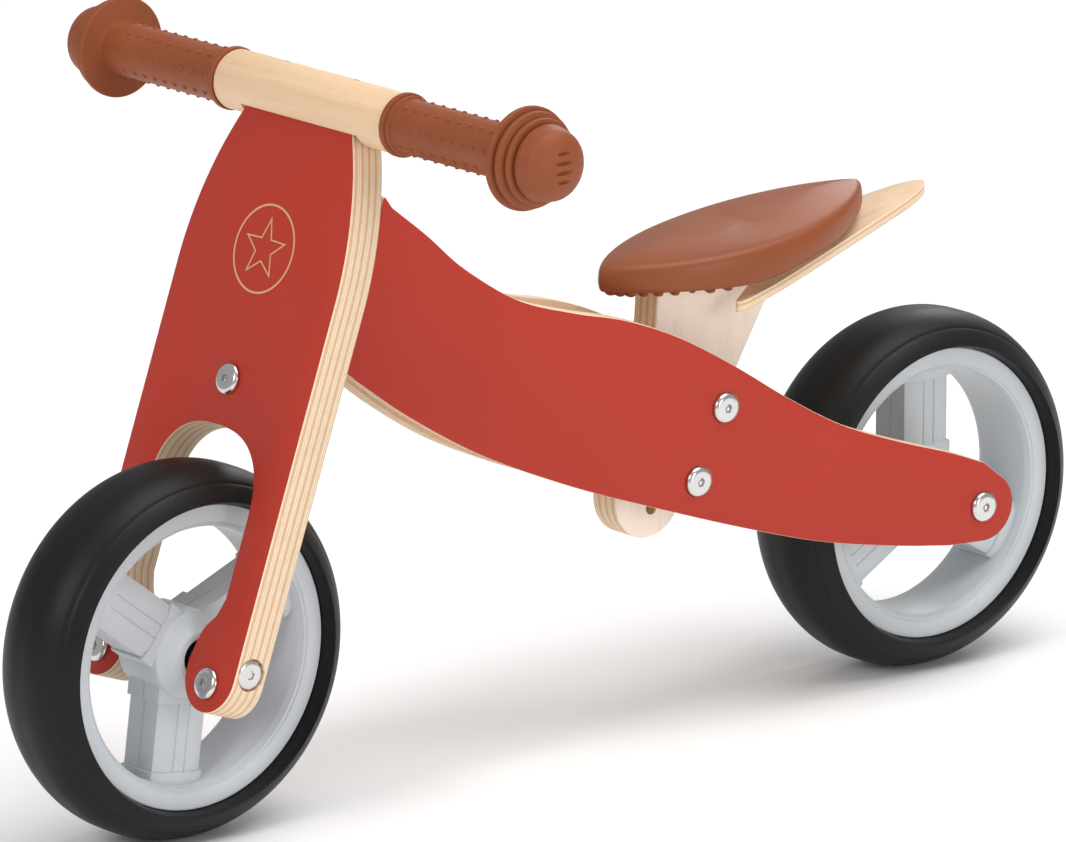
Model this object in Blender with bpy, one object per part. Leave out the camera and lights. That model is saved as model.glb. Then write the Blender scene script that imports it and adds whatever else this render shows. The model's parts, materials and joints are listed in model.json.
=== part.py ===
"""Small wooden balance bike: plywood fork board and V frame, two moulded wheels, padded saddle.

+X points forward, +Y to the rider's left, +Z up. The origin is on the ground midway between the axles.
"""

from math import asin, atan2, cos, hypot, pi, radians, sin, sqrt, tan

import bpy
import numpy as np
from mathutils import Matrix, Vector

# Clearances
GAP = 0.0003            # between two pieces that lie against each other
RUNNING_FIT = 0.0003    # radial, around a shaft or a bolt
RECESS_FIT = 0.0007     # radial, around a bolt head sunk in a board
TYRE_SIDE_ROOM = 0.0070    # between the front tyre and each fork leg
TYRE_TOP_ROOM = 0.0162     # between the front tyre and the crown of the fork's window
HUB_SIDE_ROOM = 0.0026     # between the front hub and each foot of the fork
PANEL_SIDE_ROOM = 0.0123   # between the rear tyre and each side panel
PANEL_NOSE_GAP = 0.0006    # from the middle plane to a panel's inner face at its front end

# Wheels
WHEELBASE = 0.4484
WHEEL_RADIUS = 0.0875
TYRE_CROWN = 0.0060      # flat width across the tread
TYRE_SHOULDER = 0.0270  # radius of the tyre's round section
RIM_RADIUS = 0.0710
RIM_WIDTH = 0.0386
RIM_DEPTH = 0.0110      # from the rim's outer edge to the inside of its barrel
RIM_LIP = 0.0045
SPOKES = 3
SPOKE_WIDTH = 0.0270
SPOKE_DEPTH = 0.0248
SPOKE_CHAMFER = 0.0020
COLLAR = 0.0010         # how far a spoke's collars stand out
HUB_RADIUS = 0.0205
HUB_BOSS_RADIUS = 0.0125
HUB_WIDTH = 0.0410
HUB_BORE = 0.0090       # radius
FRONT_WHEEL_TURN = radians(-7.7)
REAR_WHEEL_TURN = radians(180)
BUSH_LENGTH = 0.0080
BUSH_RECESS = 0.0035
AXLE_RADIUS = 0.0040

# Fork board
FORK_LEAN = radians(19.7)
FORK_THICKNESS = 0.0180
FORK_HALF_WIDTH = 0.0575
FORK_RISE = 0.1635      # from the top of the tyre to the board's top edge, along the board
SHOULDER_DROP = 0.0810  # below the top edge, where the sides start to curve in
FORK_SHOULDER_RADIUS = 0.1630
FOOT_HEIGHT = -0.0050   # from the axle, along the board
WINDOW_CROWN = 0.0377
WINDOW_SQUARENESS = 2.5
LEG_BOLT_HEIGHT = -0.0090
CENTRE_BOLT_RISE = 0.0213    # above the crown of the window
BRACKET_SCREW_DROP = 0.0180  # below the board's top edge
BRACKET_SCREW_OFFSET = 0.0100

# Handlebar
BAR_RADIUS = 0.0140
BAR_HALF_LENGTH = 0.0603
BAR_RISE = 0.0058       # from the board's top edge to the bar's centre
TENON_RADIUS = 0.0095
TENON_LENGTH = 0.0890
BAR_SCREW_OFFSET = 0.0250
GRIP_RADIUS = 0.0125
GRIP_FLANGE = 0.0148
GRIP_TUBE = 0.0855      # from the flange face to the first ring
GRIP_RINGS = ((0.0237, 0.0), (0.0220, 0.0045), (0.0197, 0.0090))
GRIP_RING_WIDTH = 0.0024
DOME_RADIUS = 0.0176
DOME_LENGTH = 0.0140

# Steering
STEER_SETBACK = 0.0200  # pin axis behind the back of the fork board
PIN_RADIUS = 0.0040
HEAD_TUBE_RADIUS = 0.0080
HEAD_TUBE_DROP = 0.0350    # below the board's top edge
HEAD_TUBE_LENGTH = 0.0660
WEB_THICKNESS = 0.0040
BRACKET_SHEET = 0.0030
BRACKET_ARM = 0.0040
BRACKET_WIDTH = 0.0320
THRUST_WASHER = 0.0044

# Side panels, which meet in a V at the front
PANEL_THICKNESS = 0.0100
PANEL_TAIL_RADIUS = 0.0170
PANEL_HEAD_SETBACK = 0.0315  # front end of the panels behind the back of the fork board
PIN_COVER = 0.0030           # wood left outside the head pins' blind holes

# Seat board, height holes and saddle
SEAT_BOARD_THICKNESS = 0.0165
SEAT_HOLE_PITCH = 0.01835
SEAT_SHARE = 0.4104          # upper seat bolt, as a share of the way from the rear axle to the panels' nose
SEAT_RISE = 0.0699           # upper seat bolt above the rear axle
HOLE_LINE = radians(24.3)    # the line of holes leans forward as it goes down
SEAT_HOLES = 4
SEAT_TAIL_RADIUS = 0.0200
SADDLE_SETBACK = 0.0333      # middle of the saddle behind the upper seat bolt
SADDLE_HALF_LENGTH = 0.0810
SADDLE_HALF_WIDTH = 0.0370
SADDLE_FULLNESS = 0.80
SADDLE_RISE = 0.0561         # underside of the saddle's level front part above the upper seat bolt
SADDLE_BEND_SETBACK = 0.0078
SADDLE_BEND_RADIUS = 0.1200
SADDLE_SLOPE = 0.2000
SADDLE_HEIGHT = 0.0165
SADDLE_BASE = 0.0060
SADDLE_INSET = 0.0040

# Tail plate
TAIL_THICKNESS = 0.0050
TAIL_SLOPE = 0.2200
TAIL_SETBACK = 0.1543        # tip behind the upper seat bolt
TAIL_RISE = 0.0800           # tip above the upper seat bolt
TAIL_CLEFT_SETBACK = 0.0458

# Fasteners
HEAD_RADIUS = 0.0073
HEAD_HEIGHT = 0.0030
SHANK_RADIUS = 0.0030
SLEEVE_RADIUS = 0.0042
SOCKET_RADIUS = 0.0022

AXLE_X = WHEELBASE / 2
TYRE_HALF_WIDTH = TYRE_CROWN / 2 + TYRE_SHOULDER
WINDOW_HALF_WIDTH = TYRE_HALF_WIDTH + TYRE_SIDE_ROOM
FOOT_RADIUS = (FORK_HALF_WIDTH - HUB_WIDTH / 2 - HUB_SIDE_ROOM) / 2
# Heights on the fork board are measured along it from the axle
WINDOW_TOP = WHEEL_RADIUS + TYRE_TOP_ROOM
CENTRE_BOLT_HEIGHT = WINDOW_TOP + CENTRE_BOLT_RISE
FORK_TOP = WHEEL_RADIUS + FORK_RISE
FORK_SHOULDER = FORK_TOP - SHOULDER_DROP
BAR_HEIGHT = FORK_TOP + BAR_RISE
BRACKET_SCREW_HEIGHT = FORK_TOP - BRACKET_SCREW_DROP
HEAD_TUBE_HIGH = FORK_TOP - HEAD_TUBE_DROP
HEAD_TUBE_LOW = HEAD_TUBE_HIGH - HEAD_TUBE_LENGTH
FORK_ORIGIN = Vector((AXLE_X, 0, WHEEL_RADIUS))
FORK_NORMAL = Vector((cos(FORK_LEAN), 0, sin(FORK_LEAN)))
FORK_UP = Vector((-sin(FORK_LEAN), 0, cos(FORK_LEAN)))
STEER_OFFSET = -(FORK_THICKNESS / 2 + STEER_SETBACK)
PIN_SETBACK = STEER_OFFSET - 0.0170
PIN_HEIGHTS = (HEAD_TUBE_LOW + 0.0120, HEAD_TUBE_HIGH - 0.0260)
PANEL_BACK = -FORK_THICKNESS / 2 - PANEL_HEAD_SETBACK
ROUND = 36         # sides of the large round pieces
SMALL_ROUND = 12   # and of the small ones
TINY_ROUND = 8


def clear_scene():
    for obj in list(bpy.data.objects):
        bpy.data.objects.remove(obj, do_unlink=True)


def material(name, colour, roughness, metallic=0.0):
    found = bpy.data.materials.new(name)
    found.use_nodes = True
    shader = found.node_tree.nodes["Principled BSDF"]
    shader.inputs["Base Color"].default_value = (*colour, 1)
    shader.inputs["Roughness"].default_value = roughness
    shader.inputs["Metallic"].default_value = metallic
    found.diffuse_color = (*colour, 1)
    return found


def frame_of(origin, forward, left, up):
    """World placement whose local x, y and z run along the three directions."""
    turned = Matrix((forward, left, up)).transposed().to_4x4()
    return Matrix.Translation(origin) @ turned


FORK_FRAME = frame_of(FORK_ORIGIN, FORK_NORMAL, Vector((0, 1, 0)), FORK_UP)


def fork_point(ahead, left, up):
    return FORK_FRAME @ Vector((ahead, left, up))


PANEL_NOSE = fork_point(PANEL_BACK - 0.0012, 0, HEAD_TUBE_LOW - 0.0060).x
PANEL_REACH = PANEL_NOSE + AXLE_X
PANEL_REAR_OFFSET = TYRE_HALF_WIDTH + PANEL_SIDE_ROOM + PANEL_THICKNESS   # outer face beside the rear axle
PANEL_SPREAD = PANEL_REAR_OFFSET - PANEL_NOSE_GAP
# How fast the outer face nears the middle, per metre forward
PANEL_TAPER = tan(atan2(PANEL_SPREAD, PANEL_REACH) - asin(PANEL_THICKNESS / hypot(PANEL_REACH, PANEL_SPREAD)))
PANEL_STRETCH = sqrt(1 + PANEL_TAPER**2)
PANEL_RISE = fork_point(PANEL_BACK - 0.0045, 0, HEAD_TUBE_HIGH + 0.0035).z - WHEEL_RADIUS
SEAT_X = SEAT_SHARE * PANEL_REACH - AXLE_X
SEAT_Z = WHEEL_RADIUS + SEAT_RISE
SADDLE_CENTRE = SEAT_X - SADDLE_SETBACK
SADDLE_SEAT = SEAT_Z + SADDLE_RISE
SADDLE_BEND = SEAT_X - SADDLE_BEND_SETBACK
SADDLE_SCREWS = (SEAT_X + 0.0102, SEAT_X - 0.0238)
TAIL_TIP = SEAT_X - TAIL_SETBACK
TAIL_TIP_HEIGHT = SEAT_Z + TAIL_RISE
TAIL_CLEFT = SEAT_X - TAIL_CLEFT_SETBACK


def panel_outer(x):
    """Distance of the panel's outer face from the middle plane."""
    return PANEL_REAR_OFFSET - PANEL_TAPER * (x + AXLE_X)


def panel_inner(x):
    return panel_outer(x) - PANEL_THICKNESS * PANEL_STRETCH


def solid(name, points, faces, made_of=None, place=None):
    mesh = bpy.data.meshes.new(name)
    if place is not None:
        points = [place @ Vector(point) for point in points]
    mesh.from_pydata([tuple(point) for point in points], [], faces)
    mesh.update()
    obj = bpy.data.objects.new(name, mesh)
    bpy.context.scene.collection.objects.link(obj)
    if made_of:
        mesh.materials.append(made_of)
    face_out(obj)
    return obj


def face_out(obj):
    """Turns the faces round when the mesh is inside out."""
    mesh = obj.data
    mesh.calc_loop_triangles()
    points = np.array([vert.co for vert in mesh.vertices])
    corners = points[[list(tri.vertices) for tri in mesh.loop_triangles]]
    if np.linalg.det(corners).sum() < 0:
        mesh.flip_normals()


def prism(name, outline, low, high, made_of=None, place=None):
    """Outline in the local x-z plane, extruded along local y from low to high."""
    count = len(outline)
    points = [(x, low, z) for x, z in outline] + [(x, high, z) for x, z in outline]
    faces = [list(range(count)), list(range(2 * count - 1, count - 1, -1))]
    faces += [[i, count + i, count + (i + 1) % count, (i + 1) % count] for i in range(count)]
    return solid(name, points, faces, made_of, place)


def lathe(name, profile, made_of=None, place=None, steps=SMALL_ROUND):
    """Closed profile of (radius, height) turned round local z. A radius of 0 is a point on the axis."""
    points = []
    rows = []
    for radius, height in profile:
        if radius == 0:
            rows.append(height)
            continue
        rows.append(list(range(len(points), len(points) + steps)))
        turns = [2 * pi * i / steps for i in range(steps)]
        points += [(radius * cos(turn), radius * sin(turn), height) for turn in turns]
    faces = []
    for row, after in zip(rows, rows[1:] + rows[:1]):
        if isinstance(row, list) and isinstance(after, list):
            for i in range(steps):
                j = (i + 1) % steps
                faces.append([row[i], row[j], after[j], after[i]])
            continue
        if isinstance(after, list):
            faces.append(after[::-1])
        elif isinstance(row, list):
            faces.append(row)
    return solid(name, points, faces, made_of, place)


def rod(name, radius, low, high, made_of=None, place=None, steps=SMALL_ROUND):
    return lathe(name, [(0, low), (radius, low), (radius, high), (0, high)], made_of, place, steps)


def tube(name, radius, bore, low, high, made_of=None, place=None, steps=SMALL_ROUND):
    profile = [(bore, low), (radius, low), (radius, high), (bore, high)]
    return lathe(name, profile, made_of, place, steps)


def stepped_hole(bore, low, seat, head, high, place, steps=SMALL_ROUND):
    """Cutter for a screw hole with a wider recess for the head above the seat."""
    profile = [(0, low), (bore, low), (bore, seat), (head, seat), (head, high), (0, high)]
    return lathe("cutter", profile, None, place, steps)


def block(name, low, high, made_of=None, place=None):
    outline = [(low[0], low[2]), (high[0], low[2]), (high[0], high[2]), (low[0], high[2])]
    return prism(name, outline, low[1], high[1], made_of, place)


def combine(obj, tools, operation):
    """Applies each tool to the object with an exact Boolean, then removes the tool."""
    for tool in tools:
        step = obj.modifiers.new("shape", "BOOLEAN")
        step.operation = operation
        step.solver = "EXACT"
        step.object = tool
        graph = bpy.context.evaluated_depsgraph_get()
        shaped = bpy.data.meshes.new_from_object(obj.evaluated_get(graph))
        obj.modifiers.clear()
        obj.data = shaped
        bpy.data.objects.remove(tool, do_unlink=True)
    obj.data.name = obj.name
    return obj


def cut(obj, *tools):
    return combine(obj, tools, "DIFFERENCE")


def join(obj, *tools):
    return combine(obj, tools, "UNION")


def arc(centre, radius, start, end, steps):
    """Points on a circle from one angle to another, in degrees, both ends included."""
    turns = [radians(start + (end - start) * i / steps) for i in range(steps + 1)]
    return [(centre[0] + radius * cos(turn), centre[1] + radius * sin(turn)) for turn in turns]


def curve_through(knots, steps=3):
    """Smooth line through the knots, both ends included."""
    knots = [np.array(knot, float) for knot in knots]
    padded = [2 * knots[0] - knots[1], *knots, 2 * knots[-1] - knots[-2]]
    line = []
    for before, start, end, after in zip(padded, padded[1:], padded[2:], padded[3:]):
        for i in range(steps):
            t = i / steps
            line.append(tuple(0.5 * (2 * start + (end - before) * t
                                     + (2 * before - 5 * start + 4 * end - after) * t**2
                                     + (3 * start - before - 3 * end + after) * t**3)))
    return line + [tuple(knots[-1])]


def along_y(x, z, side=1):
    """Placement whose local z runs outwards along y, to the left for side 1 and right for -1."""
    return frame_of(Vector((x, 0, z)), Vector((side, 0, 0)), Vector((0, 0, 1)), Vector((0, -1, 0))) @ (
        Matrix.Rotation(pi if side > 0 else 0, 4, "X"))


def along_fork(left, up, backwards=False):
    """Placement at a point on the fork board's middle plane whose local z runs along its normal."""
    turned = Matrix.Rotation(-pi / 2 if backwards else pi / 2, 4, "Y")
    return FORK_FRAME @ Matrix.Translation((0, left, up)) @ turned


def bracket_screw_place(side):
    return along_fork(side * BRACKET_SCREW_OFFSET, BRACKET_SCREW_HEIGHT, True)


def steering_place():
    """Placement whose local z is the steering axis, measured from the axle's height on the fork."""
    return FORK_FRAME @ Matrix.Translation((STEER_OFFSET, 0, 0))


def screw_profile(head, height, shank, length, socket, socket_depth):
    """Head above 0 with an eased rim and a socket, shank below 0."""
    ease = height * 0.3
    return [(0, height - socket_depth), (socket, height - socket_depth), (socket, height),
            (head - ease, height), (head, height - ease), (head, 0), (shank, 0),
            (shank, -length), (0, -length)]


def bolt(name, made_of, place, length, head=HEAD_RADIUS, height=HEAD_HEIGHT, shank=SHANK_RADIUS,
         socket=SOCKET_RADIUS):
    profile = screw_profile(head, height, shank, length, socket, height * 0.6)
    return lathe(name, profile, made_of, place)


def sleeve_nut(name, made_of, place, length, bore, head=HEAD_RADIUS, height=HEAD_HEIGHT,
               sleeve=SLEEVE_RADIUS):
    """Head above 0, threaded sleeve below 0 that is open at its inner end."""
    chamfer = height * 0.3
    depth = height * 0.6
    profile = [(0, height - depth), (SOCKET_RADIUS, height - depth), (SOCKET_RADIUS, height),
               (head - chamfer, height), (head, height - chamfer), (head, 0), (sleeve, 0),
               (sleeve, -length), (bore, -length), (bore, 0), (0, 0)]
    return lathe(name, profile, made_of, place)


def hex_nut(name, made_of, place, across, bore, low, high):
    outline = arc((0, 0), across / sqrt(3), 30, 330, 5)
    upright = place @ Matrix.Rotation(pi / 2, 4, "X")
    nut = prism(name, outline, low, high, made_of, upright)
    return cut(nut, rod("cutter", bore, low - 0.01, high + 0.01, None, place))


# Fork board and handlebar


def fork_outline():
    """Left half of the board from the middle of the window's crown to the middle of the top edge."""
    inner = WINDOW_HALF_WIDTH
    foot = FORK_HALF_WIDTH - FOOT_RADIUS
    heel = foot - FOOT_RADIUS
    power = 2 / WINDOW_SQUARENESS
    line = []
    for i in range(13):
        turn = pi / 2 * (1 - i / 12)
        line.append((inner * cos(turn) ** power, WINDOW_TOP - WINDOW_CROWN * (1 - sin(turn) ** power)))
    line += curve_through([(inner, 0.0300), (inner - 0.0035, 0.0215), (heel + 0.0040, 0.0135),
                           (heel, FOOT_HEIGHT + 0.0045)], 3)
    line += arc((foot, FOOT_HEIGHT), FOOT_RADIUS, 180, 360, 14)
    reach = FORK_TOP - FORK_SHOULDER
    centre = (FORK_HALF_WIDTH - FORK_SHOULDER_RADIUS, FORK_SHOULDER)
    end = np.degrees(np.arcsin(reach / FORK_SHOULDER_RADIUS))
    line += arc(centre, FORK_SHOULDER_RADIUS, 0, end, 10)
    return line


def fork_board(paint):
    half = fork_outline()
    outline = half + [(-y, v) for y, v in reversed(half[1:])]
    turned = FORK_FRAME @ Matrix.Rotation(pi / 2, 4, "Z")
    place = turned @ Matrix.Scale(-1, 4, (1, 0, 0))
    board = prism("fork_board", outline, -FORK_THICKNESS / 2, FORK_THICKNESS / 2, paint, place)
    fit = RUNNING_FIT
    recess = FORK_HALF_WIDTH - 0.0025
    across = [(0, -0.1), (HEAD_RADIUS + GAP, -0.1), (HEAD_RADIUS + GAP, -recess), (AXLE_RADIUS + fit, -recess),
              (AXLE_RADIUS + fit, recess), (HEAD_RADIUS + GAP, recess), (HEAD_RADIUS + GAP, 0.1), (0, 0.1)]
    axle = [lathe("cutter", across, None, along_y(AXLE_X, WHEEL_RADIUS), 20)]
    legs = [rod("cutter", 0.0032 + fit, -0.02, 0.02, None,
                along_fork(side * (FORK_HALF_WIDTH - FOOT_RADIUS), LEG_BOLT_HEIGHT)) for side in (1, -1)]
    middle = [rod("cutter", SHANK_RADIUS + fit, -0.02, 0.02, None, along_fork(0, CENTRE_BOLT_HEIGHT))]
    top = [rod("cutter", 0.0018 + fit, BAR_HEIGHT - 0.031, BAR_HEIGHT, None,
               FORK_FRAME @ Matrix.Translation((0, side * BAR_SCREW_OFFSET, 0)), TINY_ROUND) for side in (1, -1)]
    back = [rod("cutter", 0.0016 + fit, -0.001, 0.02, None, bracket_screw_place(side), TINY_ROUND)
            for side in (1, -1)]
    return cut(board, *axle, *legs, *middle, *top, *back)


def handlebar(wood):
    """Round bar with a thinner tenon at each end for the grips, slotted underneath for the fork board."""
    end = BAR_HALF_LENGTH + TENON_LENGTH
    ease = 0.0010
    profile = [(0, -end), (TENON_RADIUS, -end), (TENON_RADIUS, -BAR_HALF_LENGTH),
               (BAR_RADIUS - ease, -BAR_HALF_LENGTH), (BAR_RADIUS, -BAR_HALF_LENGTH + ease),
               (BAR_RADIUS, BAR_HALF_LENGTH - ease), (BAR_RADIUS - ease, BAR_HALF_LENGTH),
               (TENON_RADIUS, BAR_HALF_LENGTH), (TENON_RADIUS, end), (0, end)]
    centre = fork_point(0, 0, BAR_HEIGHT)
    bar = lathe("handlebar", profile, wood, along_y(centre.x, centre.z), ROUND)
    reach = FORK_TOP - FORK_SHOULDER
    drop = sqrt(FORK_SHOULDER_RADIUS**2 - (reach - 0.009) ** 2) - FORK_SHOULDER_RADIUS
    slot = FORK_HALF_WIDTH + drop + 0.0012
    half = FORK_THICKNESS / 2 + GAP
    cutters = [block("cutter", (-half, -slot, BAR_HEIGHT - 0.03), (half, slot, FORK_TOP + GAP),
                     None, FORK_FRAME)]
    for side in (1, -1):
        place = FORK_FRAME @ Matrix.Translation((0, side * BAR_SCREW_OFFSET, BAR_HEIGHT))
        cutters.append(stepped_hole(0.0018 + RUNNING_FIT, -0.01, 0.0050, 0.0036, 0.02, place, 16))
    return cut(bar, *cutters)


def grip_profile():
    """From the flange face at 0 outwards, then back down the blind bore."""
    line = [(GRIP_FLANGE, 0), (GRIP_FLANGE, 0.0030), (0.0138, 0.0034), (0.0138, 0.0052), (GRIP_RADIUS, 0.0060)]
    root = GRIP_RADIUS
    for radius, offset in GRIP_RINGS:
        start = GRIP_TUBE + offset
        line += [(root, start), (radius, start), (radius, start + GRIP_RING_WIDTH)]
        root = radius - 0.0045
        line.append((root, start + GRIP_RING_WIDTH))
    base = GRIP_TUBE + 0.0130
    crown = DOME_RADIUS - 0.0012
    line += [(root, base), (DOME_RADIUS, base), (crown, base + 0.0055)]
    for turn in (30, 60, 80):
        rise = (DOME_LENGTH - 0.0055) * sin(radians(turn))
        line.append((crown * cos(radians(turn)) ** 0.8, base + 0.0055 + rise))
    line.append((0, line[-1][1]))
    bore = TENON_RADIUS + GAP
    line += [(0, TENON_LENGTH + 0.0012), (bore, TENON_LENGTH + 0.0012), (bore, 0)]
    return line


def grip(name, side, rubber):
    centre = fork_point(0, 0, BAR_HEIGHT)
    place = along_y(centre.x, centre.z, side) @ Matrix.Translation((0, 0, BAR_HALF_LENGTH + GAP))
    return lathe(name, grip_profile(), rubber, place, 20)


def bar_screw(name, side, steel):
    place = FORK_FRAME @ Matrix.Translation((0, side * BAR_SCREW_OFFSET, BAR_HEIGHT + 0.0050 + GAP))
    return bolt(name, steel, place, 0.0340, 0.0032, 0.0022, 0.0018, 0.0012)


def axle_bolt(name, side, face, steel, x):
    """Bolt in the end of an axle. The face is its head's seat, measured from the middle plane."""
    place = along_y(x, WHEEL_RADIUS, side) @ Matrix.Translation((0, 0, face))
    height = 0.0017 if x > 0 else HEAD_HEIGHT
    return bolt(name, steel, place, 0.0130, height=height, shank=0.0024)


def axle_rod(name, half, steel, x):
    """Rod with a threaded hole in each end."""
    bore = 0.0024 + RUNNING_FIT
    floor = half - 0.0120
    profile = [(0, -floor), (bore, -floor), (bore, -half), (AXLE_RADIUS, -half), (AXLE_RADIUS, half),
               (bore, half), (bore, floor), (0, floor)]
    return lathe(name, profile, steel, along_y(x, WHEEL_RADIUS))


def axle_spacer(name, side, reach, nylon, x):
    """Sleeve between the wheel bush and the leg or panel."""
    start = HUB_WIDTH / 2 - BUSH_RECESS + GAP
    return tube(name, 0.0062, AXLE_RADIUS + RUNNING_FIT, start, reach, nylon, along_y(x, WHEEL_RADIUS, side))


def leg_bolt(name, side, steel):
    place = along_fork(side * (FORK_HALF_WIDTH - FOOT_RADIUS), LEG_BOLT_HEIGHT)
    place = place @ Matrix.Translation((0, 0, FORK_THICKNESS / 2 + GAP))
    return bolt(name, steel, place, 0.0150, height=0.0026, shank=0.0020)


def leg_nut(name, side, steel):
    place = along_fork(side * (FORK_HALF_WIDTH - FOOT_RADIUS), LEG_BOLT_HEIGHT, True)
    place = place @ Matrix.Translation((0, 0, FORK_THICKNESS / 2 + GAP))
    return sleeve_nut(name, steel, place, 0.0140, 0.0020 + RUNNING_FIT, 0.0060, 0.0020, 0.0032)


# Steering gear behind the fork board


def steering_bracket(steel):
    """Sheet screwed to the back of the board with an arm above and one below the head tube."""
    back = -(FORK_THICKNESS / 2 + GAP)
    half = BRACKET_WIDTH / 2
    plate = block("steering_bracket", (back - BRACKET_SHEET, -half, CENTRE_BOLT_HEIGHT - 0.0120),
                  (back, half, BRACKET_SCREW_HEIGHT + 0.0080), steel, FORK_FRAME)
    lower = HEAD_TUBE_LOW - THRUST_WASHER - 2 * GAP
    upper = HEAD_TUBE_HIGH + THRUST_WASHER + 2 * GAP
    radius = PIN_RADIUS + 0.0050
    for low in (lower - BRACKET_ARM, upper):
        nose = arc((STEER_OFFSET, 0), radius, 90, 270, 10)
        outline = [(back - 0.0005, -radius - 0.0040), (back - 0.0005, radius + 0.0040)] + nose
        flat = FORK_FRAME @ Matrix.Rotation(pi / 2, 4, "X")
        arm = prism("arm", outline, low, low + BRACKET_ARM, None, flat)
        plate = join(plate, arm)
    holes = [rod("cutter", PIN_RADIUS + RUNNING_FIT, 0.1, 0.3, None, steering_place()),
             rod("cutter", SHANK_RADIUS + RUNNING_FIT, -0.03, 0, None, along_fork(0, CENTRE_BOLT_HEIGHT))]
    holes += [rod("cutter", 0.0016 + RUNNING_FIT, 0, 0.03, None, bracket_screw_place(side), TINY_ROUND)
              for side in (1, -1)]
    return cut(plate, *holes)


def bracket_screw(name, side, steel):
    seat = FORK_THICKNESS / 2 + BRACKET_SHEET + 2 * GAP
    place = bracket_screw_place(side) @ Matrix.Translation((0, 0, seat))
    return bolt(name, steel, place, 0.0110, 0.0034, 0.0018, 0.0016, 0.0010)


def centre_bolt(steel):
    place = along_fork(0, CENTRE_BOLT_HEIGHT) @ Matrix.Translation((0, 0, FORK_THICKNESS / 2 + GAP))
    return bolt("centre_bolt", steel, place, 0.0270, height=0.0026)


def centre_nut(steel):
    seat = FORK_THICKNESS / 2 + BRACKET_SHEET + 2 * GAP
    return hex_nut("centre_nut", steel, along_fork(0, CENTRE_BOLT_HEIGHT, True), 0.0100,
                   SHANK_RADIUS + RUNNING_FIT, seat, seat + 0.0045)


def steering_pin(steel):
    top = HEAD_TUBE_HIGH + THRUST_WASHER + BRACKET_ARM + 3 * GAP
    bottom = HEAD_TUBE_LOW - THRUST_WASHER - BRACKET_ARM - 0.0080
    place = steering_place() @ Matrix.Translation((0, 0, top))
    return bolt("steering_pin", steel, place, top - bottom, 0.0070, 0.0040, PIN_RADIUS, 0.0025)


def steering_nut(steel):
    high = HEAD_TUBE_LOW - THRUST_WASHER - BRACKET_ARM - 3 * GAP
    return hex_nut("steering_nut", steel, steering_place(), 0.0130, PIN_RADIUS + RUNNING_FIT,
                   high - 0.0060, high)


def thrust_washer(name, low, nylon):
    return tube(name, HEAD_TUBE_RADIUS, PIN_RADIUS + RUNNING_FIT, low, low + THRUST_WASHER, nylon,
                steering_place())


# Frame


def head_tube(steel):
    """Tube for the steering pin with a web at its back that is held between the side panels."""
    bore = PIN_RADIUS + RUNNING_FIT
    lug = tube("head_tube", HEAD_TUBE_RADIUS, bore, HEAD_TUBE_LOW, HEAD_TUBE_HIGH, steel, steering_place(), 20)
    half = WEB_THICKNESS / 2
    web = block("web", (STEER_OFFSET - 0.0250, -half, HEAD_TUBE_LOW + 0.0050),
                (STEER_OFFSET - 0.0060, half, HEAD_TUBE_HIGH - 0.0080), None, FORK_FRAME)
    join(lug, web)
    holes = []
    for up in PIN_HEIGHTS:
        spot = fork_point(PIN_SETBACK, 0, up)
        holes.append(rod("cutter", 0.0020 + RUNNING_FIT, -0.02, 0.02, None, along_y(spot.x, spot.z), TINY_ROUND))
    return cut(lug, *holes)


def head_pin(name, up, steel):
    """Cross pin through the head tube's web, its ends in blind holes in the two panels."""
    spot = fork_point(PIN_SETBACK, 0, up)
    reach = panel_outer(spot.x) - PIN_COVER - GAP
    return rod(name, 0.0020, -reach, reach, steel, along_y(spot.x, spot.z), TINY_ROUND)


def panel_place(side):
    """Placement whose local x runs along the panel's outer face from the rear axle and z is upwards."""
    forward = Vector((1, -side * PANEL_TAPER, 0)).normalized()
    left = Vector((0, 0, 1)).cross(forward)
    return frame_of(Vector((-AXLE_X, side * PANEL_REAR_OFFSET, WHEEL_RADIUS)), forward, left,
                    Vector((0, 0, 1)))


# Knots of the panel's two long edges, as shares of its reach and of its rise from the rear axle
UPPER_LINE = ((0.0000, 0.1138), (0.0555, 0.1546), (0.1414, 0.2079), (0.2288, 0.2721), (0.3148, 0.3635),
              (0.3993, 0.4669), (0.4853, 0.5598), (0.5685, 0.6241), (0.6517, 0.6653), (0.7349, 0.7186),
              (0.8153, 0.8163), (0.8708, 0.9108), (0.9235, 0.9928))
LOWER_LINE = ((0.9784, 0.5807), (0.8977, 0.4690), (0.7890, 0.3462), (0.6517, 0.2308), (0.5119, 0.1347),
              (0.3705, 0.0444), (0.2562, -0.0188), (0.1414, -0.0616), (0.0555, -0.0851))


def panel_knots(line):
    return [(along * PANEL_REACH, up * PANEL_RISE) for along, up in line]


def panel_outline():
    """Swan-necked outline, measured along the panel from the rear axle and up from it."""
    tail = arc((0, 0), PANEL_TAIL_RADIUS, 268, 130, 14)
    upper = curve_through(panel_knots(UPPER_LINE))
    head = [fork_point(PANEL_BACK - back, 0, up)
            for back, up in ((0.0045, HEAD_TUBE_HIGH + 0.0035), (0.0010, HEAD_TUBE_HIGH),
                             (0.0, HEAD_TUBE_HIGH - 0.0050), (0.0, HEAD_TUBE_LOW - 0.0020),
                             (0.0012, HEAD_TUBE_LOW - 0.0060), (0.0045, HEAD_TUBE_LOW - 0.0085))]
    front = [((spot.x + AXLE_X) * PANEL_STRETCH, spot.z - WHEEL_RADIUS) for spot in head]
    lower = curve_through(panel_knots(LOWER_LINE))
    return tail + upper + front + lower


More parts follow.
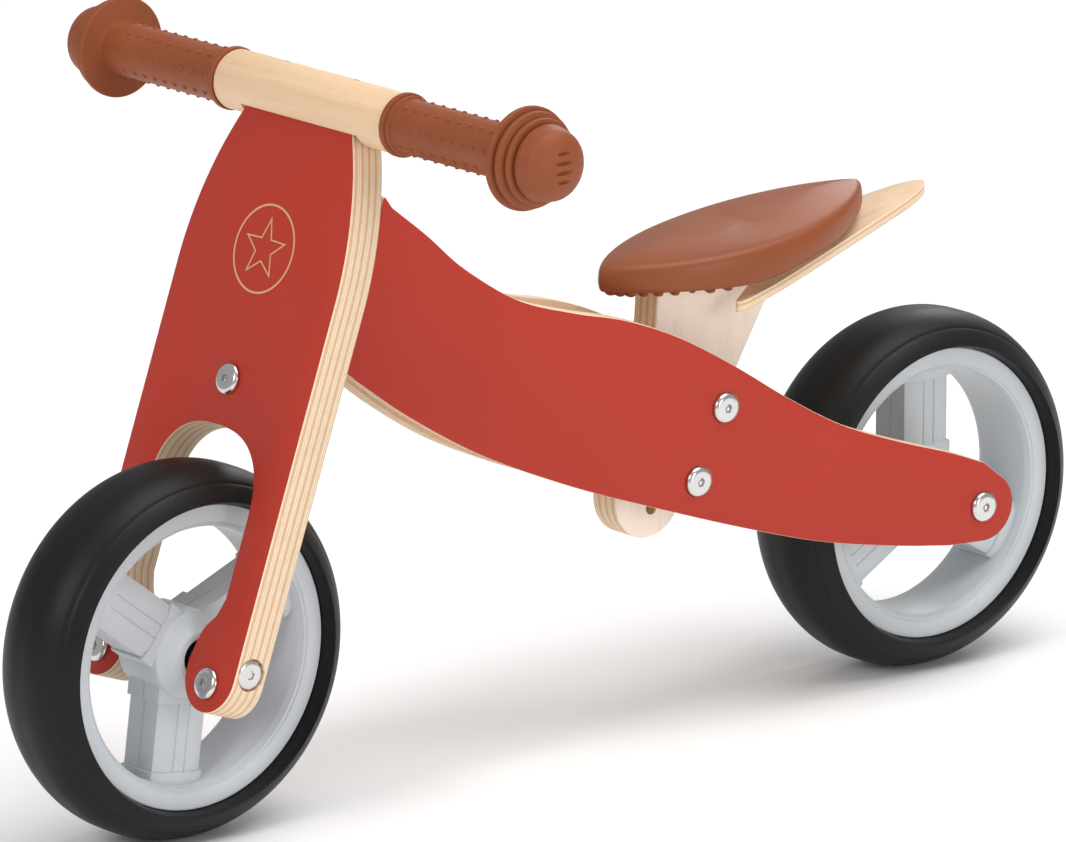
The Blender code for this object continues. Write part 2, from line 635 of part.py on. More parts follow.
def side_panel(name, side, paint):
    low, high = (-PANEL_THICKNESS, 0) if side > 0 else (0, PANEL_THICKNESS)
    panel = prism(name, panel_outline(), low, high, paint, panel_place(side))
    half = WEB_THICKNESS / 2 + GAP
    web = block("cutter", (STEER_OFFSET - 0.0250 - GAP, -half, HEAD_TUBE_LOW + 0.0050 - GAP),
                (STEER_OFFSET + 0.01, half, HEAD_TUBE_HIGH - 0.0080 + GAP), None, FORK_FRAME)
    cutters = [web]
    for up in PIN_HEIGHTS:
        spot = fork_point(PIN_SETBACK, 0, up)
        place = along_y(spot.x, spot.z, side)
        depth = panel_outer(spot.x) - PIN_COVER
        cutters.append(rod("cutter", 0.0020 + RUNNING_FIT, -0.001, depth, None, place, 16))
    for x, z in (bolt_spot(0), bolt_spot(2)):
        place = along_y(x, z, side)
        bore = SLEEVE_RADIUS + RUNNING_FIT
        cutters.append(stepped_hole(bore, 0, head_seat(x) - GAP, HEAD_RADIUS + RECESS_FIT, 0.06, place))
    place = along_y(-AXLE_X, WHEEL_RADIUS, side)
    bore = 0.0024 + RUNNING_FIT
    cutters.append(stepped_hole(bore, 0, head_seat(-AXLE_X) - GAP, HEAD_RADIUS + RECESS_FIT, 0.08, place))
    return cut(panel, *cutters)


def head_seat(x):
    """Where a bolt head sits in its shallow recess in a panel, measured from the middle plane."""
    return panel_outer(x + HEAD_RADIUS)


def bolt_spot(index):
    """Centre of one of the seat board's holes, counted down from the upper bolt."""
    reach = index * SEAT_HOLE_PITCH
    return SEAT_X + reach * sin(HOLE_LINE), SEAT_Z - reach * cos(HOLE_LINE)


def head_wedge(wood):
    """Tapered block glued between the panels behind the head."""
    points = []
    for along, under, over in ((0.7185, 0.326, 0.660), (0.9045, 0.551, 0.890)):
        x = along * PANEL_REACH - AXLE_X
        low, high = WHEEL_RADIUS + under * PANEL_RISE, WHEEL_RADIUS + over * PANEL_RISE
        half = panel_inner(x) - GAP
        points += [(x, -half, low), (x, half, low), (x, half, high), (x, -half, high)]
    faces = [(0, 1, 2, 3), (7, 6, 5, 4), (0, 4, 5, 1), (1, 5, 6, 2), (2, 6, 7, 3), (3, 7, 4, 0)]
    return solid("head_wedge", points, faces, wood)


def saddle_underside(x):
    """Height of the saddle's underside: level at the front, then bent up towards the rear."""
    back = max(0.0, SADDLE_BEND - x)
    bend = SADDLE_SLOPE * SADDLE_BEND_RADIUS
    if back < bend:
        return SADDLE_SEAT + back**2 / (2 * SADDLE_BEND_RADIUS)
    return SADDLE_SEAT + bend**2 / (2 * SADDLE_BEND_RADIUS) + SADDLE_SLOPE * (back - bend)


def saddle_half_width(x):
    t = min(1.0, abs(x - SADDLE_CENTRE) / SADDLE_HALF_LENGTH)
    return SADDLE_HALF_WIDTH * (1 - t * t) ** SADDLE_FULLNESS


def tail_top(x):
    return TAIL_TIP_HEIGHT + TAIL_SLOPE * (TAIL_TIP - x)


def seat_board(wood):
    """Upright board that carries the saddle, with a row of height holes and a notch for the tail plate."""
    foot = (bolt_spot(3)[0] + 0.0019, bolt_spot(3)[1] + 0.0060)
    knots = [(SEAT_X + ahead, SEAT_Z + up) for ahead, up in ((0.0197, 0.0386), (0.0262, 0.0086), (0.0372, -0.0214))]
    front = curve_through([*knots, (foot[0] + SEAT_TAIL_RADIUS, foot[1] + 0.0020)], 4)
    end = arc(foot, SEAT_TAIL_RADIUS, 0, -160, 14)
    stations = [SEAT_X - 0.0628 + i * 0.0815 / 10 for i in range(11)]
    top = [(x, saddle_underside(x) - GAP) for x in stations]
    outline = front + end + [(SEAT_X - 0.0300, SEAT_Z + 0.0096)] + top
    half = SEAT_BOARD_THICKNESS / 2
    board = prism("seat_board", outline, -half, half, wood)
    cutters = []
    for index in range(SEAT_HOLES):
        x, z = bolt_spot(index)
        cutters.append(rod("cutter", SLEEVE_RADIUS + RUNNING_FIT if index in (0, 2) else 0.0032,
                           -0.02, 0.02, None, along_y(x, z)))
    gap = GAP * 1.1
    start, stop = TAIL_CLEFT + GAP, TAIL_CLEFT - 0.0380
    thick = TAIL_THICKNESS * hypot(1, TAIL_SLOPE)
    notch = [(start, tail_top(start) + gap), (start, tail_top(start) - thick - gap),
             (stop, tail_top(stop) - thick - gap), (stop, tail_top(stop) + gap)]
    cutters.append(prism("cutter", notch, -0.02, 0.02))
    for x in SADDLE_SCREWS:
        cutters.append(rod("cutter", 0.0018 + RUNNING_FIT, saddle_underside(x) - 0.0300, 0.25, None,
                           Matrix.Translation((x, 0, 0)), TINY_ROUND))
    return cut(board, *cutters)


def seat_spacer(name, index, side, wood):
    """Bush between the seat board and a panel, its outer end cut to the panel's slope."""
    x, z = bolt_spot(index)
    start = SEAT_BOARD_THICKNESS / 2 + GAP
    bush = tube(name, 0.0090, SLEEVE_RADIUS + RUNNING_FIT, start, 0.0300, wood, along_y(x, z, side))
    beyond = prism("cutter", [(-0.1, -0.2), (0.3, -0.2), (0.3, 0.2), (-0.1, 0.2)],
                   *((-PANEL_THICKNESS - GAP, 0.05) if side > 0 else (-0.05, PANEL_THICKNESS + GAP)),
                   None, panel_place(side))
    return cut(bush, beyond)


def seat_bolt(name, index, steel):
    """Bolt from the left, screwed into the sleeve nut on the right."""
    x, z = bolt_spot(index)
    seat = head_seat(x)
    place = along_y(x, z) @ Matrix.Translation((0, 0, seat))
    return bolt(name, steel, place, 2 * seat - 0.0060)


def seat_nut(name, index, steel):
    x, z = bolt_spot(index)
    seat = head_seat(x)
    place = along_y(x, z, -1) @ Matrix.Translation((0, 0, seat))
    return sleeve_nut(name, steel, place, 2 * seat - 0.0080, SHANK_RADIUS + RUNNING_FIT)


def saddle_ring(inset, rise, count=32):
    """Closed line round the saddle, moved inwards and raised above its underside."""
    ring = []
    for i in range(count):
        turn = 2 * pi * i / count
        x = SADDLE_CENTRE + SADDLE_HALF_LENGTH * cos(turn)
        y = saddle_half_width(x) * (1 if sin(turn) >= 0 else -1)
        far = hypot(x - SADDLE_CENTRE, y)
        scale = max(0.0, 1 - inset / far)
        x = SADDLE_CENTRE + (x - SADDLE_CENTRE) * scale
        ring.append((x, y * scale, saddle_underside(x) + rise))
    return ring


def lofted(name, rings, made_of):
    """Closed body through symmetric rings of equal count, with cross strips at each end."""
    count = len(rings[0])
    points = [point for ring in rings for point in ring]
    faces = []
    for row in range(len(rings) - 1):
        for i in range(count):
            j = (i + 1) % count
            faces.append([row * count + i, row * count + j, (row + 1) * count + j, (row + 1) * count + i])
    last = (len(rings) - 1) * count
    for i in range(count // 2):
        strip = list(dict.fromkeys([i, i + 1, count - i - 1, (count - i) % count]))
        faces.append(strip[::-1])
        faces.append([last + corner for corner in strip])
    return solid(name, points, faces, made_of)


def saddle_base(wood):
    base = lofted("saddle_base", [saddle_ring(SADDLE_INSET, 0), saddle_ring(SADDLE_INSET, SADDLE_BASE)], wood)
    cutters = []
    for x in SADDLE_SCREWS:
        place = Matrix.Translation((x, 0, saddle_underside(x)))
        cutters.append(stepped_hole(0.0018 + RUNNING_FIT, -0.01, SADDLE_BASE - 0.0025, 0.0036, 0.01, place, 16))
    return cut(base, *cutters)


def saddle_screw(name, x, steel):
    place = Matrix.Translation((x, 0, saddle_underside(x) + SADDLE_BASE - 0.0025 + GAP))
    return bolt(name, steel, place, 0.0280, 0.0033, 0.0018, 0.0018, 0.0011)


def saddle_cushion(leather):
    """Padded cover that wraps the edge of the saddle base."""
    section = ((0.0016, 0.0), (0.0004, 0.0012), (0.0, 0.0030), (0.0, 0.0070), (0.0010, 0.0098),
               (0.0036, 0.0122), (0.0080, 0.0140), (0.0150, 0.0154), (0.0250, 0.0162),
               (0.0340, SADDLE_HEIGHT))
    cushion = lofted("saddle_cushion", [saddle_ring(inset, rise) for inset, rise in section], leather)
    lift = SADDLE_BASE + GAP
    pocket = lofted("cutter", [saddle_ring(SADDLE_INSET - GAP, -0.0100),
                               saddle_ring(SADDLE_INSET - GAP, lift)], None)
    return cut(cushion, pocket)


def tail_plate(wood):
    """Thin tapering board behind the saddle, slotted over the seat board."""
    side = curve_through([(TAIL_TIP + ahead, out) for ahead, out in (
        (0.0, 0.0), (0.0040, 0.0050), (0.0165, 0.0105), (0.0405, 0.0160), (0.0805, 0.0240), (0.1155, 0.0305),
        (0.1375, 0.0328))], 4)
    side += [(TAIL_TIP + ahead, out) for ahead, out in ((0.1410, 0.0325), (0.1433, 0.0308), (0.1431, 0.0288))]
    half = SEAT_BOARD_THICKNESS / 2 + GAP
    side += [(TAIL_CLEFT + 0.0010, half), (TAIL_CLEFT, half)]
    outline = side + [(x, -y) for x, y in reversed(side[1:])]
    count = len(outline)
    thick = TAIL_THICKNESS * hypot(1, TAIL_SLOPE)
    points = [(x, y, tail_top(x) - drop) for drop in (0, thick) for x, y in outline]
    faces = [list(range(count)), list(range(2 * count - 1, count - 1, -1))]
    faces += [[i, count + i, count + (i + 1) % count, (i + 1) % count] for i in range(count)]
    return solid("tail_plate", points, faces, wood)


# Wheels


def wheel_place(x):
    return along_y(x, WHEEL_RADIUS)


def tyre_section():
    """Round-shouldered section of (radius, offset), bulging past the rim on both sides."""
    flat = TYRE_CROWN / 2
    half = TYRE_HALF_WIDTH
    centre = WHEEL_RADIUS - TYRE_SHOULDER
    crown = []
    for turn in (0, 16, 32, 48, 62):
        crown.append((centre + TYRE_SHOULDER * cos(radians(turn)), flat + TYRE_SHOULDER * sin(radians(turn))))
    wall = [(RIM_RADIUS + 0.0012, half - 0.0050), (RIM_RADIUS + GAP, half - 0.0085)]
    bead = RIM_WIDTH / 2 - RIM_LIP - GAP
    foot = [(RIM_RADIUS + GAP, bead), (RIM_RADIUS - 0.0050 + GAP, bead)]
    right = crown + wall + foot
    return [(radius, -offset) for radius, offset in reversed(right)] + right


def tyre(name, x, foam):
    return lathe(name, tyre_section(), foam, wheel_place(x), 40)


def barrel_section():
    """Rim barrel with an outer lip and a rounded inner edge at each side."""
    half = RIM_WIDTH / 2
    inner = RIM_RADIUS - RIM_DEPTH
    right = [(RIM_RADIUS - 0.0050, half - RIM_LIP), (RIM_RADIUS, half - RIM_LIP), (RIM_RADIUS, half),
             (inner + 0.0030, half), (inner + 0.0010, half - 0.0012), (inner, half - 0.0036)]
    return [(radius, -offset) for radius, offset in reversed(right)] + right


def spoke(place, turn, width, depth, start, end):
    """Box spoke of the given width across and depth along the axle, with chamfered front edges."""
    half = width / 2
    deep = depth / 2
    edge = SPOKE_CHAMFER
    flat = half - 2.4 * edge
    outline = [(-half, -deep + edge), (-flat, -deep), (flat, -deep), (half, -deep + edge),
               (half, deep - edge), (flat, deep), (-flat, deep), (-half, deep - edge)]
    return prism("spoke", outline, start, end, None, place @ Matrix.Rotation(turn, 4, "Z"))


def rim(name, x, turn, plastic):
    place = wheel_place(x)
    body = lathe(name, barrel_section(), plastic, place, ROUND)
    boss = HUB_WIDTH / 2
    deep = SPOKE_DEPTH / 2
    half = [(HUB_BORE, boss), (HUB_BOSS_RADIUS, boss), (HUB_BOSS_RADIUS + 0.0030, deep + 0.0034),
            (HUB_RADIUS, deep + 0.0016)]
    profile = half + [(radius, -height) for radius, height in reversed(half)]
    hub = lathe("hub", profile, None, place, 24)
    reach = RIM_RADIUS - RIM_DEPTH
    parts = [hub]
    for index in range(SPOKES):
        angle = turn + 2 * pi * index / SPOKES
        parts.append(spoke(place, angle, SPOKE_WIDTH, SPOKE_DEPTH, 0.0125, reach + 0.0015))
        parts.append(spoke(place, angle, SPOKE_WIDTH + 2 * COLLAR, SPOKE_DEPTH + 2 * COLLAR,
                           0.0135, HUB_RADIUS + 0.0010))
        parts.append(spoke(place, angle, SPOKE_WIDTH + 2 * COLLAR, SPOKE_DEPTH + 2 * COLLAR,
                           reach - 0.0060, reach + 0.0017))
    return join(body, *parts)


def wheel_bush(name, x, side, nylon):
    end = HUB_WIDTH / 2 - BUSH_RECESS
    return tube(name, HUB_BORE - GAP, AXLE_RADIUS + RUNNING_FIT, end - BUSH_LENGTH, end, nylon,
                along_y(x, WHEEL_RADIUS, side))


# Assembly


def set_pivot(obj, spot):
    """Moves the object's origin to a joint's axis without moving its shape."""
    obj.data.transform(Matrix.Translation(-Vector(spot)))
    obj.location = Vector(spot)


def gather(name, spot, pieces, parent=None):
    """Empty on a joint's axis that carries the pieces which turn about it."""
    pivot = bpy.data.objects.new(name, None)
    pivot.location = Vector(spot) - (parent.location if parent else Vector())
    pivot.parent = parent
    bpy.context.scene.collection.objects.link(pivot)
    for piece in pieces:
        set_pivot(piece, spot)
        piece.location = (0, 0, 0)
        piece.parent = pivot
    return pivot


def build_wheel(label, x, turn, colours):
    return [
        tyre(label + "_tyre", x, colours["foam"]),
        rim(label + "_rim", x, turn, colours["grey"]),
        wheel_bush(label + "_bush_left", x, 1, colours["nylon"]),
        wheel_bush(label + "_bush_right", x, -1, colours["nylon"]),
    ]


def build_fork(colours):
    steel = colours["steel"]
    foot = FORK_HALF_WIDTH - 2 * FOOT_RADIUS - GAP
    seat = FORK_HALF_WIDTH - 0.0025 + GAP
    pieces = [fork_board(colours["paint"]), handlebar(colours["birch"]), steering_bracket(colours["zinc"]),
              centre_bolt(steel), centre_nut(colours["zinc"]), steering_pin(colours["zinc"]),
              steering_nut(colours["zinc"]),
              axle_rod("front_axle", FORK_HALF_WIDTH - 0.0075, colours["zinc"], AXLE_X)]
    for word, side in (("left", 1), ("right", -1)):
        pieces += [
            grip("grip_" + word, side, colours["rubber"]),
            bar_screw("bar_screw_" + word, side, colours["zinc"]),
            bracket_screw("bracket_screw_" + word, side, colours["zinc"]),
            leg_bolt("leg_bolt_" + word, side, steel),
            leg_nut("leg_nut_" + word, side, steel),
            axle_bolt("front_axle_bolt_" + word, side, seat, steel, AXLE_X),
            axle_spacer("front_spacer_" + word, side, foot, colours["nylon"], AXLE_X),
        ]
    pieces.append(thrust_washer("thrust_washer_lower", HEAD_TUBE_LOW - THRUST_WASHER - GAP, colours["nylon"]))
    pieces.append(thrust_washer("thrust_washer_upper", HEAD_TUBE_HIGH + GAP, colours["nylon"]))
    return pieces


def build_frame(colours):
    steel = colours["steel"]
    inner = panel_inner(-AXLE_X + 0.0062) - GAP
    side_panel("left_side_panel", 1, colours["paint"])
    side_panel("right_side_panel", -1, colours["paint"])
    head_tube(colours["zinc"])
    head_pin("head_pin_lower", PIN_HEIGHTS[0], colours["zinc"])
    head_pin("head_pin_upper", PIN_HEIGHTS[1], colours["zinc"])
    head_wedge(colours["birch"])
    seat_board(colours["birch"])
    for level, index in (("upper", 0), ("lower", 2)):
        seat_bolt("seat_bolt_" + level, index, steel)
        seat_nut("seat_nut_" + level, index, steel)
        for word, side in (("left", 1), ("right", -1)):
            seat_spacer("seat_spacer_" + level + "_" + word, index, side, colours["birch"])
    saddle_base(colours["birch"])
    saddle_cushion(colours["leather"])
    for word, x in zip(("front", "rear"), SADDLE_SCREWS):
        saddle_screw("saddle_screw_" + word, x, colours["zinc"])
    tail_plate(colours["birch"])
    axle_rod("rear_axle", inner - 0.0005, colours["zinc"], -AXLE_X)
    for word, side in (("left", 1), ("right", -1)):
        axle_bolt("rear_axle_bolt_" + word, side, head_seat(-AXLE_X), steel, -AXLE_X)
        axle_spacer("rear_spacer_" + word, side, inner, colours["nylon"], -AXLE_X)


def build():
    clear_scene()
    colours = {
        "paint": material("red_paint", (0.45, 0.05, 0.03), 0.42),
        "birch": material("birch", (0.86, 0.63, 0.40), 0.55),
        "rubber": material("brown_rubber", (0.28, 0.08, 0.03), 0.6),
        "leather": material("brown_leather", (0.33, 0.10, 0.04), 0.38),
        "foam": material("black_foam", (0.02, 0.02, 0.02), 0.6),
        "grey": material("grey_plastic", (0.48, 0.53, 0.56), 0.42),
        "nylon": material("black_nylon", (0.05, 0.05, 0.055), 0.5),
        "steel": material("nickel_plate", (0.75, 0.75, 0.76), 0.22, 1.0),
        "zinc": material("zinc_plate", (0.6, 0.61, 0.62), 0.38, 1.0),
    }
    build_frame(colours)
    head_middle = fork_point(STEER_OFFSET, 0, (HEAD_TUBE_LOW + HEAD_TUBE_HIGH) / 2)
    steering = gather("steering_axis", head_middle, build_fork(colours))
    front_hub = (AXLE_X, 0, WHEEL_RADIUS)
    gather("front_wheel_axis", front_hub, build_wheel("front", AXLE_X, FRONT_WHEEL_TURN, colours), steering)
    rear_hub = (-AXLE_X, 0, WHEEL_RADIUS)
    gather("rear_wheel_axis", rear_hub, build_wheel("rear", -AXLE_X, REAR_WHEEL_TURN, colours))


build()
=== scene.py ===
"""Looks of the wooden balance bike: plywood, paint, leatherette, rubber, foam and nickel plate."""

import json
from math import cos, hypot, pi, radians, sin, sqrt

import bmesh
import bpy
import numpy as np
from mathutils import Matrix, Vector


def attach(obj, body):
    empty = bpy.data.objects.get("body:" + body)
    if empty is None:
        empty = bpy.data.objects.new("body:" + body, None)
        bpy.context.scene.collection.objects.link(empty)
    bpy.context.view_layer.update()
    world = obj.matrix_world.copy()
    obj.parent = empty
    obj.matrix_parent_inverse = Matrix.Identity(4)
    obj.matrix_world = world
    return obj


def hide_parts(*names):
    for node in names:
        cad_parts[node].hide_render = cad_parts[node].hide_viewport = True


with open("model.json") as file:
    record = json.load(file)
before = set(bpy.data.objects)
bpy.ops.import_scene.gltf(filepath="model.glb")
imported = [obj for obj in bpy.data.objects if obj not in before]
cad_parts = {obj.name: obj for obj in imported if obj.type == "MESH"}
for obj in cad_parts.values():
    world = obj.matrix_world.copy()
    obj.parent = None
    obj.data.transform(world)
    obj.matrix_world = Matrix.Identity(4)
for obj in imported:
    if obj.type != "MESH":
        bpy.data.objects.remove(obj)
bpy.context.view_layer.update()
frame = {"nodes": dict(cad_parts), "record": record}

# Sizes shared with the solid model, in metres
AXLE_X = 0.2242
WHEEL_RADIUS = 0.0875
FORK_LEAN = radians(19.7)
FORK_THICKNESS = 0.018
FORK_HALF_WIDTH = 0.0575
FORK_TOP = 0.251
FORK_SHOULDER = 0.170
FORK_SHOULDER_RADIUS = 0.163
LEG_WIDTH = 0.0205
FOOT_RADIUS = 0.0172
FOOT_HEIGHT = -0.005
LEG_BOLT_HEIGHT = -0.009
CENTRE_BOLT_HEIGHT = 0.125
BAR_HEIGHT = 0.2568
BAR_RADIUS = 0.014
BAR_HALF_LENGTH = 0.0603
BAR_SCREW_OFFSET = 0.025
GRIP_TUBE = 0.0855
GRIP_RADIUS = 0.0125
PANEL_THICKNESS = 0.010
PANEL_REAR_OFFSET = 0.0523
PANEL_TAPER = 0.11544
SEAT_BOARD_THICKNESS = 0.0165
SEAT_HOLE_PITCH = 0.01835
UPPER_BOLT = (-0.0762, 0.1574)
HOLE_LINE = radians(24.3)
SADDLE_CENTRE = -0.1095
SADDLE_HALF_LENGTH = 0.081
SADDLE_HALF_WIDTH = 0.037
SADDLE_SEAT = 0.2135
TAIL_THICKNESS = 0.005
TAIL_SLOPE = 0.22
TAIL_TIP = -0.2305
TAIL_TIP_HEIGHT = 0.2374
TAIL_CLEFT = -0.122
HEAD_RADIUS = 0.0073
GAP = 0.0003
HEAD_SETBACK = 0.0315

# Sizes of the shown surfaces, in metres
PAINT_DEPTH = 0.0012
CUTTER_REACH = 0.08
FACING = 0.6
MOTIF_HEIGHT = 0.186
MOTIF_THICKNESS = 0.00012
MOTIF_SUNK = 0.00005
BAR_CORE_RADIUS = 0.0095
BUMPS_AROUND = 8
BUMPS_ALONG = 10
BUMP_START = 0.0105
BUMP_PITCH = 0.0075
TYRE_ROUND = 0.027
TYRE_FLAT = 0.003
TYRE_GROOVE = 0.00025
RIM_HALF_WIDTH = 0.0193

FORK_NORMAL = Vector((cos(FORK_LEAN), 0, sin(FORK_LEAN)))
FORK_UP = Vector((-sin(FORK_LEAN), 0, cos(FORK_LEAN)))
FORK_ORIGIN = Vector((AXLE_X, 0, WHEEL_RADIUS))
LEFT = Vector((0, 1, 0))
UP = Vector((0, 0, 1))


def frame_of(origin, forward, left, up):
    """Placement whose local x, y and z run along the three directions."""
    return Matrix.Translation(origin) @ Matrix((forward, left, up)).transposed().to_4x4()


FORK_FRAME = frame_of(FORK_ORIGIN, FORK_NORMAL, LEFT, FORK_UP)


def along_y(x, z, side=1):
    """Placement whose local z runs outwards along y, to the left for side 1 and right for -1."""
    return frame_of(Vector((x, 0, z)), Vector((1, 0, 0)), Vector((0, 0, -side)), Vector((0, side, 0)))


def panel_forward(side):
    return Vector((1, -side * PANEL_TAPER, 0)).normalized()


def panel_place(side):
    forward = panel_forward(side)
    corner = Vector((-AXLE_X, side * PANEL_REAR_OFFSET, WHEEL_RADIUS))
    return frame_of(corner, forward, UP.cross(forward), UP)


def panel_outer(x):
    return PANEL_REAR_OFFSET - PANEL_TAPER * (x + AXLE_X)


def put(name, data):
    """A new object with the data, in the scene."""
    obj = bpy.data.objects.new(name, data)
    bpy.context.scene.collection.objects.link(obj)
    return obj


# Camera, light and floor


def add_camera():
    data = bpy.data.cameras.new("camera")
    data.lens = 345.4
    data.sensor_width = 36
    data.clip_end = 30
    camera = put("camera", data)
    azimuth, elevation = radians(140.22), radians(14.65)
    back = Vector((sin(azimuth) * cos(elevation), -cos(azimuth) * cos(elevation), sin(elevation)))
    camera.location = (2.9519, 3.5314, 1.3599)
    camera.rotation_mode = "QUATERNION"
    camera.rotation_quaternion = (-back).to_track_quat("-Z", "Y")
    bpy.context.scene.camera = camera


def area_light(name, spot, target, size, power):
    data = bpy.data.lights.new(name, "AREA")
    data.shape = "DISK"
    data.size = size
    data.energy = power
    lamp = put(name, data)
    lamp.location = spot
    lamp.rotation_mode = "QUATERNION"
    lamp.rotation_quaternion = (Vector(target) - Vector(spot)).to_track_quat("-Z", "Y")


def add_studio():
    bpy.context.scene.view_settings.view_transform = "Standard"
    world = bpy.data.worlds.new("studio")
    world.use_nodes = True
    world.node_tree.nodes["Background"].inputs["Color"].default_value = (1.0, 1.0, 1.0, 1)
    world.node_tree.nodes["Background"].inputs["Strength"].default_value = 0.42
    bpy.context.scene.world = world
    area_light("top_light", (-0.7, 0.9, 3.8), (0, 0, 0), 3.4, 105)
    area_light("key_light", (3.0, 0.7, 2.0), (0, 0, 0.15), 1.2, 34)
    area_light("side_light", (0.0, 3.4, 1.0), (0, 0, 0.15), 1.4, 22)
    area_light("back_light", (-2.6, -1.8, 1.8), (0, 0, 0.15), 1.4, 20)


def add_floor():
    mesh = bpy.data.meshes.new("floor")
    reach = 9
    corners = [(-reach, -reach, 0), (reach, -reach, 0), (reach, reach, 0), (-reach, reach, 0)]
    mesh.from_pydata(corners, [], [(0, 1, 2, 3)])
    floor = put("floor", mesh)
    finish = Finish("floor_paper", {"Base Color": (0.95, 0.95, 0.95, 1), "Roughness": 0.95,
                                     "Specular IOR Level": 0.1})
    mesh.materials.append(finish.material)


# Shader helpers


class Value:
    """A shader socket that takes part in sums."""

    def __init__(self, finish, output):
        self.finish = finish
        self.output = output

    def _sum(self, operation, left, right):
        return self.finish.add("ShaderNodeMath", {"operation": operation}, [left, right])

    def __add__(self, other):
        return self._sum("ADD", self, other)

    def __radd__(self, other):
        return self._sum("ADD", other, self)

    def __sub__(self, other):
        return self._sum("SUBTRACT", self, other)

    def __rsub__(self, other):
        return self._sum("SUBTRACT", other, self)

    def __mul__(self, other):
        return self._sum("MULTIPLY", self, other)

    def __rmul__(self, other):
        return self._sum("MULTIPLY", other, self)

    def __truediv__(self, other):
        return self._sum("DIVIDE", self, other)

    def __mod__(self, other):
        return self._sum("FLOORED_MODULO", self, other)

    def __abs__(self):
        return self._sum("ABSOLUTE", self, 0.0)


class Finish:
    """A material with the shader's even values, and nodes for what varies over the surface."""

    def __init__(self, name, look):
        self.material = bpy.data.materials.new(name)
        self.material.use_nodes = True
        self.tree = self.material.node_tree
        self.shader = self.tree.nodes["Principled BSDF"]
        for socket, value in look.items():
            self.shader.inputs[socket].default_value = value
        self.material.diffuse_color = look.get("Base Color", (0.8, 0.8, 0.8, 1))

    def add(self, kind, settings, values, output=0):
        node = self.tree.nodes.new(kind)
        for name, value in settings.items():
            if name == "stops":
                self._set_stops(node.color_ramp, value)
            else:
                setattr(node, name, value)
        pairs = values.items() if isinstance(values, dict) else enumerate(values)
        for key, value in pairs:
            self._feed(node.inputs[key], value)
        return Value(self, node.outputs[output])

    def _feed(self, socket, value):
        if isinstance(value, Value):
            self.tree.links.new(value.output, socket)
        else:
            socket.default_value = value

    def _set_stops(self, ramp, stops):
        while len(ramp.elements) < len(stops):
            ramp.elements.new(0.5)
        for element, (place, level) in zip(ramp.elements, stops):
            element.position = place
            element.color = (level, level, level, 1)

    def wear(self, **values):
        """Feeds the shader's own sockets, named with underscores for spaces."""
        for name, value in values.items():
            self._feed(self.shader.inputs[name.replace("_", " ")], value)

    def place(self):
        return self.add("ShaderNodeTexCoord", {}, {}, "Object")

    def stretched(self, scale, shift=(0, 0, 0)):
        return self.add("ShaderNodeMapping", {},
                        {"Vector": self.place(), "Location": shift, "Scale": scale})

    def fine(self, scale, detail=2.0, roughness=0.5):
        """Noise on the object's own coordinates, scaled evenly."""
        return self.noise(self.stretched((scale, scale, scale)), 1, detail, roughness)

    def noise(self, vector, scale=1.0, detail=2.0, roughness=0.5):
        return self.add("ShaderNodeTexNoise", {},
                        {"Vector": vector, "Scale": scale, "Detail": detail, "Roughness": roughness},
                        "Fac")

    def ramp(self, value, *stops):
        return self.add("ShaderNodeValToRGB", {"stops": stops}, [value])

    def mix(self, share, first, second):
        node = self.tree.nodes.new("ShaderNodeMix")
        node.data_type = "RGBA"
        self._feed(node.inputs["Factor"], share)
        for socket, colour in ((node.inputs[6], first), (node.inputs[7], second)):
            self._feed(socket, colour if isinstance(colour, Value) else (*colour, 1))
        return Value(self, node.outputs[2])

    def along(self, direction, origin=(0, 0, 0)):
        """Distance of a point from the origin, measured along the direction."""
        offset = self.add("ShaderNodeVectorMath", {"operation": "SUBTRACT"},
                          [self.place(), tuple(origin)])
        return self.add("ShaderNodeVectorMath", {"operation": "DOT_PRODUCT"},
                        [offset, tuple(direction)], "Value")

    def bump(self, height, distance, strength=1.0):
        normal = self.add("ShaderNodeBump", {},
                          {"Height": height, "Distance": distance, "Strength": strength})
        self.wear(Normal=normal)


def red_paint():
    finish = Finish("red_paint", {"Base Color": (0.44, 0.038, 0.022, 1), "Roughness": 0.5,
                                  "Specular IOR Level": 0.22})
    cloud = finish.noise(finish.place(), 16, 3)
    grain = finish.fine(900)
    finish.wear(Base_Color=finish.mix(cloud, (0.425, 0.035, 0.020), (0.465, 0.042, 0.025)),
                Roughness=0.46 + 0.1 * grain)
    finish.bump(grain + 2.0 * finish.fine(120, 1), 0.00006, 0.4)
    return finish.material


def ply_edge(name, origin, normal, thickness, plies):
    """Sawn plywood edge: pale plies with thin brown glue lines, running across the board's thickness."""
    finish = Finish(name, {"Base Color": (0.78, 0.55, 0.34, 1), "Roughness": 0.6})
    wander = finish.fine(9) - 0.5
    depth = finish.along(normal, origin) / thickness * plies + plies / 2 + 0.22 * wander
    across = depth % 1.0
    edge = abs(across - 0.5) * 2
    glue = finish.ramp(edge, (0.74, 0), (0.96, 1))
    other = finish.ramp(abs((depth % 2.0) - 1.0), (0.42, 0), (0.58, 1))
    fibres = finish.fine(240, 4, 0.7)
    pores = finish.ramp(finish.fine(1100, 1), (0.60, 0), (0.74, 1))
    pale = finish.mix(fibres, (0.84, 0.63, 0.43), (0.95, 0.80, 0.61))
    warm = finish.mix(fibres, (0.66, 0.42, 0.235), (0.84, 0.60, 0.39))
    plain = finish.mix(other, pale, warm)
    lined = finish.mix(glue * 0.55, plain, (0.46, 0.245, 0.115))
    finish.wear(Base_Color=finish.mix(pores * 0.2, lined, (0.50, 0.30, 0.16)),
                Roughness=0.52 + 0.2 * fibres)
    finish.bump(fibres - 0.8 * glue, 0.00010, 0.5)
    return finish.material


